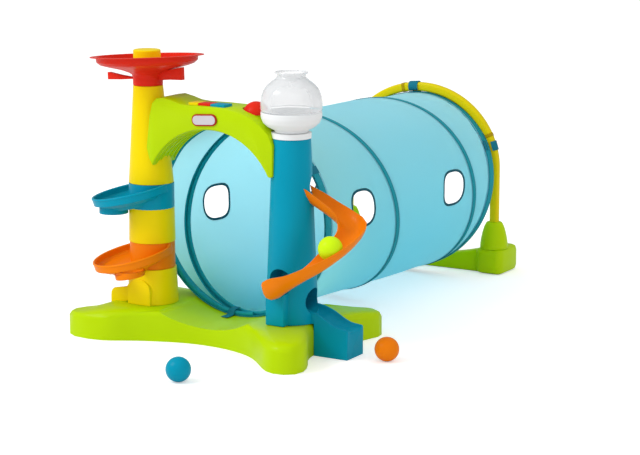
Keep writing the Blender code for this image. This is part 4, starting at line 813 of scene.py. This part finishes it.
faces, places = [], []
for row in range(ALONG + 1):
    for step in range(AROUND):
        places.append([-HEM + (LENGTH + 2 * HEM) * row / ALONG, 2 * pi * step / AROUND])
for row in range(ALONG):
    for step in range(AROUND):
        after = (step + 1) % AROUND
        near, away = row * AROUND, (row + 1) * AROUND
        faces.append((near + step, away + step, away + after, near + after))
for side, y, z in WINDOWS:
    middle = window_middle(side, y, z)

    def reach(place):
        # how far from the window's middle a place is, with 1 on the window's edge
        aside = (place[1] - middle) * HOOP
        return ((abs(place[0] - y) / WINDOW_HALF_LONG) ** WINDOW_SQUARE
                + (abs(aside) / WINDOW_HALF_HIGH) ** WINDOW_SQUARE) ** (1 / WINDOW_SQUARE)

    inner = [face for face in faces if sum(reach(places[corner]) < 1 for corner in face) > 2]
    faces = [face for face in faces if sum(reach(places[corner]) < 1 for corner in face) <= 2]
    kept = {corner for face in faces for corner in face}
    edge = {corner for face in inner for corner in face if corner in kept}
    edge |= {corner for corner in kept if reach(places[corner]) < 1}
    for corner in edge:
        far = reach(places[corner])
        places[corner] = [y + (places[corner][0] - y) / far, middle + (places[corner][1] - middle) / far]
used = sorted({corner for face in faces for corner in face})
renumbered = {old: new for new, old in enumerate(used)}
faces = [tuple(renumbered[corner] for corner in face) for face in faces]
points = [on_tunnel(*places[corner], cloth_radius(*places[corner])) for corner in used]
cloth = placed("tunnel_cloth", points, faces, outer_cloth, lit_inner_face_cloth)
layer = cloth.data.uv_layers.new(name="cloth")
for loop in cloth.data.loops:
    y, angle = places[used[loop.vertex_index]]
    layer.data[loop.index].uv = (angle * HOOP, y)
for face in cloth.data.polygons:
    angles = [layer.data[loop].uv.x for loop in face.loop_indices]
    if max(angles) - min(angles) > pi * HOOP:
        for loop in face.loop_indices:
            if layer.data[loop].uv.x < pi * HOOP:
                layer.data[loop].uv.x += 2 * pi * HOOP
first_face = cloth.data.polygons[0]
centre, normal = first_face.center, first_face.normal
if centre.x * normal.x + (centre.z - FRONT_Z) * normal.z <= 0:
    cloth.data.flip_normals()
thick = cloth.modifiers.new("Thickness", "SOLIDIFY")
thick.thickness = CLOTH_THICK
thick.offset = 1
thick.material_offset = 1
finished(cloth)
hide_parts("tunnel_fabric")
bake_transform(cloth)

# Coil. One springy steel wire, two full turns and a closed hoop at each end, inside a sewn sleeve of
# dark teal tape. It is what holds the tunnel round and pushes it open.
tape = woven("teal_tape", screen(26, 184, 202), screen(16, 160, 182), 0.0018, 0.30, 0.0003, 0.25, 0.05)
DARK_TEAL = screen(8, 92, 110)
dark_tape = woven("dark_teal_tape", DARK_TEAL, DARK_TEAL, 0.0018, 0.05, 0.0003, 0.25, 0.05)
coil, r, given = shape_recipe(
    "coil", {"Points": "Int"}, "Steps per Turn", "Hoop Radius", "Sleeve Radius", "Length", "Lead", "Turns",
    "Start Angle", "Front Height", "Drop", "Lean")
turn = r.node("GeometryNodeInputIndex") / given("Steps per Turn") - 1.0
lead, turns = given("Lead"), given("Turns")
way = (lead * r.held(turn + 1.0)
       + (given("Length") - lead * 2.0) * r.held(turn / turns)
       + lead * r.held(turn - turns))
angle = turn * (2 * pi) + given("Start Angle")
share = way / given("Length")
lean = given("Lean") * share * share
up = given("Hoop Radius") * angle.of("COSINE") * -1.0
spot = r.node("ShaderNodeCombineXYZ", {
    0: given("Hoop Radius") * angle.of("SINE") * -1.0, 1: way + up * lean.of("SINE"),
    2: given("Front Height") - given("Drop") * share + up * lean.of("COSINE")})
line = r.node("GeometryNodeMeshLine", {"Count": given("Points")})
line = r.node("GeometryNodeSetPosition", {"Geometry": line, "Position": spot})
line = r.node("GeometryNodeMeshToCurve", {"Mesh": line})
ring = r.node("GeometryNodeCurvePrimitiveCircle", {"Resolution": 12, "Radius": given("Sleeve Radius")})
tube = r.node("GeometryNodeCurveToMesh", {"Curve": line, "Profile Curve": ring, "Fill Caps": True})
r.shape(tube, tape)

STEPS = 96
sleeve = grown(placed("coil_sleeve", [], []), coil, {
    "Points": STEPS * (TURNS + 2) + 1, "Steps per Turn": float(STEPS), "Hoop Radius": HOOP,
    "Sleeve Radius": 0.0052, "Length": LENGTH, "Lead": LEAD, "Turns": float(TURNS), "Start Angle": START,
    "Front Height": FRONT_Z, "Drop": FRONT_Z - REAR_Z, "Lean": LEAN})
sleeve.data.shade_smooth()


# Tape. A flat band is sewn over the coil on the outside, a wider one holds it inside, a folded hem
# binds each of the sleeve's two ends, and a dark binding is folded over the windows' edges.
def tape_round(name, turns, centre_y, half_w, low, high, closed=False):
    # a band of tape that lies on the cloth along the coil for so many turns, its edges rounded
    rings = []
    count = turns * 192
    for step in range(count + (0 if closed else 1)):
        turn = turns * step / count
        angle = 2 * pi * turn + START
        middle = centre_y(turn)
        thick = (high - low) / 2
        ring = []
        for aside, lift in ((-1, -0.3), (-1, 0.3), (-0.93, 1), (0, 1), (0.93, 1), (1, 0.3), (1, -0.3),
                            (0.93, -1), (0, -1), (-0.93, -1)):
            y = middle + aside * half_w
            ring.append(on_tunnel(y, angle, CLOTH_IN + (low + high) / 2 + lift * thick))
        rings.append(ring)
    return swept(name, rings, tape, closed)


flat = [sleeve]
OUTER_HALF, INNER_HALF, HEM_OUT_HALF, HEM_IN_HALF, HEM_PAST = 0.0088, 0.0135, 0.0135, 0.0175, 0.0060
flat.append(tape_round("seam_tape_outside", TURNS, wire_y, OUTER_HALF, 0.0008, 0.0014))
flat.append(tape_round("seam_tape_inside", TURNS, wire_y, INNER_HALF, -0.0009, -0.0002))
for end, edge, way in (("front", -HEM_PAST, 1), ("rear", LENGTH + HEM_PAST, -1)):
    for face, half_w, low, high in (("outside", HEM_OUT_HALF, 0.0009, 0.0019),
                                    ("inside", HEM_IN_HALF, -0.0014, -0.0002)):
        name = end + "_hem_" + face
        flat.append(tape_round(name, 1, lambda turn: edge + way * half_w, half_w, low, high, True))
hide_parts("tunnel_spring")


def window_tape(name, side, y, z):
    # binding folded over a window's edge, on both faces of the cloth
    middle = window_middle(side, y, z)
    # the fold: how far outside the window's edge, and how far out from the cloth
    fold = ((0.0055, -0.0006), (0.0027, -0.0009), (0.0004, -0.0007), (-0.0004, 0.0), (-0.0004, 0.0008),
            (0.0004, 0.0015), (0.0027, 0.0017), (0.0055, 0.0015), (0.0060, 0.0010), (0.0060, -0.0002))
    rings = []
    for step in range(96):
        turn = 2 * pi * step / 96
        reach = (abs(cos(turn)) ** WINDOW_SQUARE + abs(sin(turn)) ** WINDOW_SQUARE) ** (-1 / WINDOW_SQUARE)

        def past_edge(grow):
            # the place on the cloth this far outside the window's edge
            return (y + (WINDOW_HALF_LONG + grow) * reach * cos(turn),
                    middle + (WINDOW_HALF_HIGH + grow) * reach * sin(turn) / HOOP)

        rings.append([on_tunnel(*past_edge(grow), cloth_radius(*past_edge(max(0, grow))) + lift)
                      for grow, lift in fold])
    return swept(name, rings, dark_tape, True)


for number, (side, y, z) in enumerate(WINDOWS, 1):
    piece = window_tape("window_tape_%d" % number, side, y, z)
    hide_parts("window_binding_%d" % number)
    flat.append(piece)

# Stitches. A row of lockstitch in teal thread runs along each side of the outer tape, and one along
# the inner edge of each hem.
thread, r = made_of("stitch_thread")
place = r.place()
ply = r.noise(place, 900.0, 1.0)
colour = r.mixed(ply, screen(4, 88, 104), screen(30, 140, 156))
skin = r.node("ShaderNodeBsdfPrincipled", {"Base Color": colour, "Roughness": 0.5 + ply * 0.2})
r.surface(skin)
stitches, r, given = shape_recipe(
    "stitches", {"Geometry": "Geometry"}, "Spacing", "Stitch Length", "Thread Width")
line = r.node("GeometryNodeMeshToCurve", {"Mesh": given("Geometry")})
line = r.node("GeometryNodeResampleCurve", {"Curve": line, "Length": given("Spacing")}, mode="LENGTH")
bead = r.node("GeometryNodeMeshIcoSphere", {"Radius": 0.5, "Subdivisions": 1})
size = r.node("ShaderNodeCombineXYZ", {
    0: given("Stitch Length"), 1: given("Thread Width"), 2: given("Thread Width")})
along = r.node("GeometryNodeInputTangent")
along = r.node("FunctionNodeAlignRotationToVector", {"Vector": along}, axis="X")
rows = r.node("GeometryNodeInstanceOnPoints", {
    "Points": line, "Instance": bead, "Rotation": along, "Scale": size})
rows = r.node("GeometryNodeRealizeInstances", {"Geometry": rows})
r.shape(rows, thread)

TAPE_ROW, HEM_ROW = OUTER_HALF - 0.0014, 2 * HEM_OUT_HALF - 0.0018
points, edges = [], []
for turns, centre_y, aside, lift in (
        (TURNS, wire_y, TAPE_ROW, 0.0015), (TURNS, wire_y, -TAPE_ROW, 0.0015),
        (1, lambda turn: -HEM_PAST, HEM_ROW, 0.0020),
        (1, lambda turn: LENGTH + HEM_PAST, -HEM_ROW, 0.0020)):
    count = turns * 120
    for step in range(count + 1):
        turn = turns * step / count
        points.append(on_tunnel(centre_y(turn) + aside, 2 * pi * turn + START, CLOTH_IN + lift))
        if step:
            edges.append((len(points) - 2, len(points) - 1))
threads = placed("seam_stitches", points, [], edges=edges)
flat.append(grown(threads, stitches, {"Spacing": 0.0052, "Stitch Length": 0.0036, "Thread Width": 0.0008}))
for piece in flat:
    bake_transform(piece)

# Rear stand. A lime floor bar with two feet and bell-shaped sockets, and a yellow arch of four tubes
# that push together, with a band where two of them meet.
rear_yellow = moulded("rear_yellow_plastic", screen(226, 206, 10))
REAR_LEG_X, REAR_LEG_Y, REAR_LEG_Z = 0.235, 0.946, 0.128
REAR_ARCH_Z, REAR_ARCH_RISE, REAR_HALF = 0.295, 0.216, 0.0123


def shorter_feet(spot):
    # the feet end nearer to their sockets, outward and behind
    side = 1 if spot.x > 0 else -1
    outer, back = max(0, abs(spot.x) - REAR_LEG_X), max(0, spot.y - REAR_LEG_Y)
    return spot - Vector((side * outer * 0.30, back * 0.14, 0))


fitted(reshaped("rear_base", lime, 40, shorter_feet), "lime", "rear_base", body="rear_stand")


def rear_line(angle):
    # the middle of the arch's tube and the way outward from it, by the angle from the top toward the right
    if abs(angle) > pi / 2:
        side = 1 if angle > 0 else -1
        down = (abs(angle) - pi / 2) * REAR_LEG_X
        return Vector((side * REAR_LEG_X, REAR_LEG_Y, REAR_ARCH_Z - down)), Vector((side, 0, 0))
    outward = Vector((sin(angle) / REAR_LEG_X, 0, cos(angle) / REAR_ARCH_RISE)).normalized()
    return Vector((REAR_LEG_X * sin(angle), REAR_LEG_Y, REAR_ARCH_Z + REAR_ARCH_RISE * cos(angle))), outward


def rear_tube(name, start, stop, half, look, count):
    # a length of the arch: a tube with flattened front and back
    rings = []
    for step in range(count + 1):
        middle, outward = rear_line(start + (stop - start) * step / count)
        ring = []
        for part in range(24):
            turn = 2 * pi * part / 24
            flat = (cos(turn) ** 4 + sin(turn) ** 4) ** -0.25
            ring.append(middle + (outward * cos(turn) + Vector((0, 0.86 * sin(turn), 0))) * half * flat)
        rings.append(ring)
    return swept(name, rings, look)


FOOT_TURN = pi / 2 + (REAR_ARCH_Z - REAR_LEG_Z) / REAR_LEG_X
LEFT_JOINT, TOP_JOINT, RIGHT_JOINT, JOINT_HALF = radians(-65), radians(-13), radians(65), radians(1.1)
for node, start, stop in (("rear_leg_left", -FOOT_TURN, LEFT_JOINT),
                          ("rear_arc_left", LEFT_JOINT, TOP_JOINT),
                          ("rear_arc_right", TOP_JOINT, RIGHT_JOINT),
                          ("rear_leg_right", RIGHT_JOINT, FOOT_TURN)):
    length = rear_tube(node + "_skin", start, stop, REAR_HALF, rear_yellow, 40)
    fitted(length, "rear_yellow", node, body="rear_stand")
joint_yellow = moulded("joint_yellow_plastic", screen(178, 148, 8))
for name, angle in (("joint_left", LEFT_JOINT), ("joint_top", TOP_JOINT), ("joint_right", RIGHT_JOINT)):
    band = rear_tube(name, angle - JOINT_HALF, angle + JOINT_HALF, REAR_HALF + 0.0012, joint_yellow, 4)
    fitted(band, "rear_yellow", body="rear_stand")
socket = [(0, 0.0700), (0.0392, 0.0700), (0.0385, 0.0840), (0.0362, 0.1000), (0.0325, 0.1170),
          (0.0275, 0.1330), (0.0215, 0.1445), (0.0150, 0.1455), (0, 0.1455)]
for side, name in ((-1, "socket_left"), (1, "socket_right")):
    bell = turned(name, eased(socket, 0.0040), side * REAR_LEG_X, REAR_LEG_Y, lime, 64)
    fitted(bell, "lime", body="rear_stand")

# Straps. Dark teal webbing ties the front hoop to the two towers and the base, and ties the rear hoop
# to the yellow arch and the floor bar. Each is sewn to the hem.
webbing, r = made_of("teal_webbing")
place = r.place()
parts = r.node("ShaderNodeSeparateXYZ", {0: place})
ridge = ((parts + parts.out(1) + parts.out(2)) * 2600.0).of("SINE") * 0.5 + 0.5
wool = r.noise(place, 700.0, 2.0)
base = r.mixed(ridge * 0.6 + wool * 0.5, screen(2, 92, 112), screen(14, 132, 156))
bumps = r.node("ShaderNodeBump", {"Strength": 0.5, "Distance": 0.0003, "Height": ridge + wool * 0.4})
skin = r.node("ShaderNodeBsdfPrincipled", {
    "Base Color": base, "Roughness": 0.7 + wool * 0.1, "Normal": bumps, "Specular IOR Level": 0.2})
r.surface(skin)
LOOP_NEAR, LOOP_GROW, STRAP_WIDER = 0.0150, 1.27, 1.40
# where each rear strap sits on the arch, by the angle from the top toward the right
REAR_STRAPS = {"rear_strap_top": radians(-5), "rear_strap_left": radians(-73),
               "rear_strap_right": radians(73), "rear_strap_bottom": None}
for node in ("front_strap_left", "front_strap_right", "base_strap", *REAR_STRAPS):
    at = REAR_STRAPS.get(node)
    shape = bmesh.new()
    shape.from_mesh(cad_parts[node].data)
    bmesh.ops.remove_doubles(shape, verts=shape.verts, dist=0.00001)
    bmesh.ops.join_triangles(shape, faces=shape.faces, angle_face_threshold=0.3, angle_shape_threshold=3.0)
    # the straps on the arch follow its shown shape, and are wider than they are modelled
    for vert in shape.verts if at is not None else ():
        angle = atan2(vert.co.x, vert.co.z - REAR_ARCH_Z)
        modelled = Vector((REAR_LEG_X * sin(angle), REAR_LEG_Y, REAR_ARCH_Z + REAR_LEG_X * cos(angle)))
        if (vert.co - modelled).length < LOOP_NEAR:
            vert.co = rear_line(angle)[0] + (vert.co - modelled) * LOOP_GROW
        aside = Vector((cos(at), 0, -sin(at)))
        vert.co += aside * (vert.co - rear_line(at)[0]).dot(aside) * (STRAP_WIDER - 1)
    strap = placed(node + "_webbing", [], [], webbing)
    shape.to_mesh(strap.data)
    shape.free()
    strap.data.shade_smooth()
    body = "rear_stand" if node in REAR_STRAPS else "front_stand"
    fitted(rounded(strap, 0.0005, 2, 50), "strap", node, body=body)
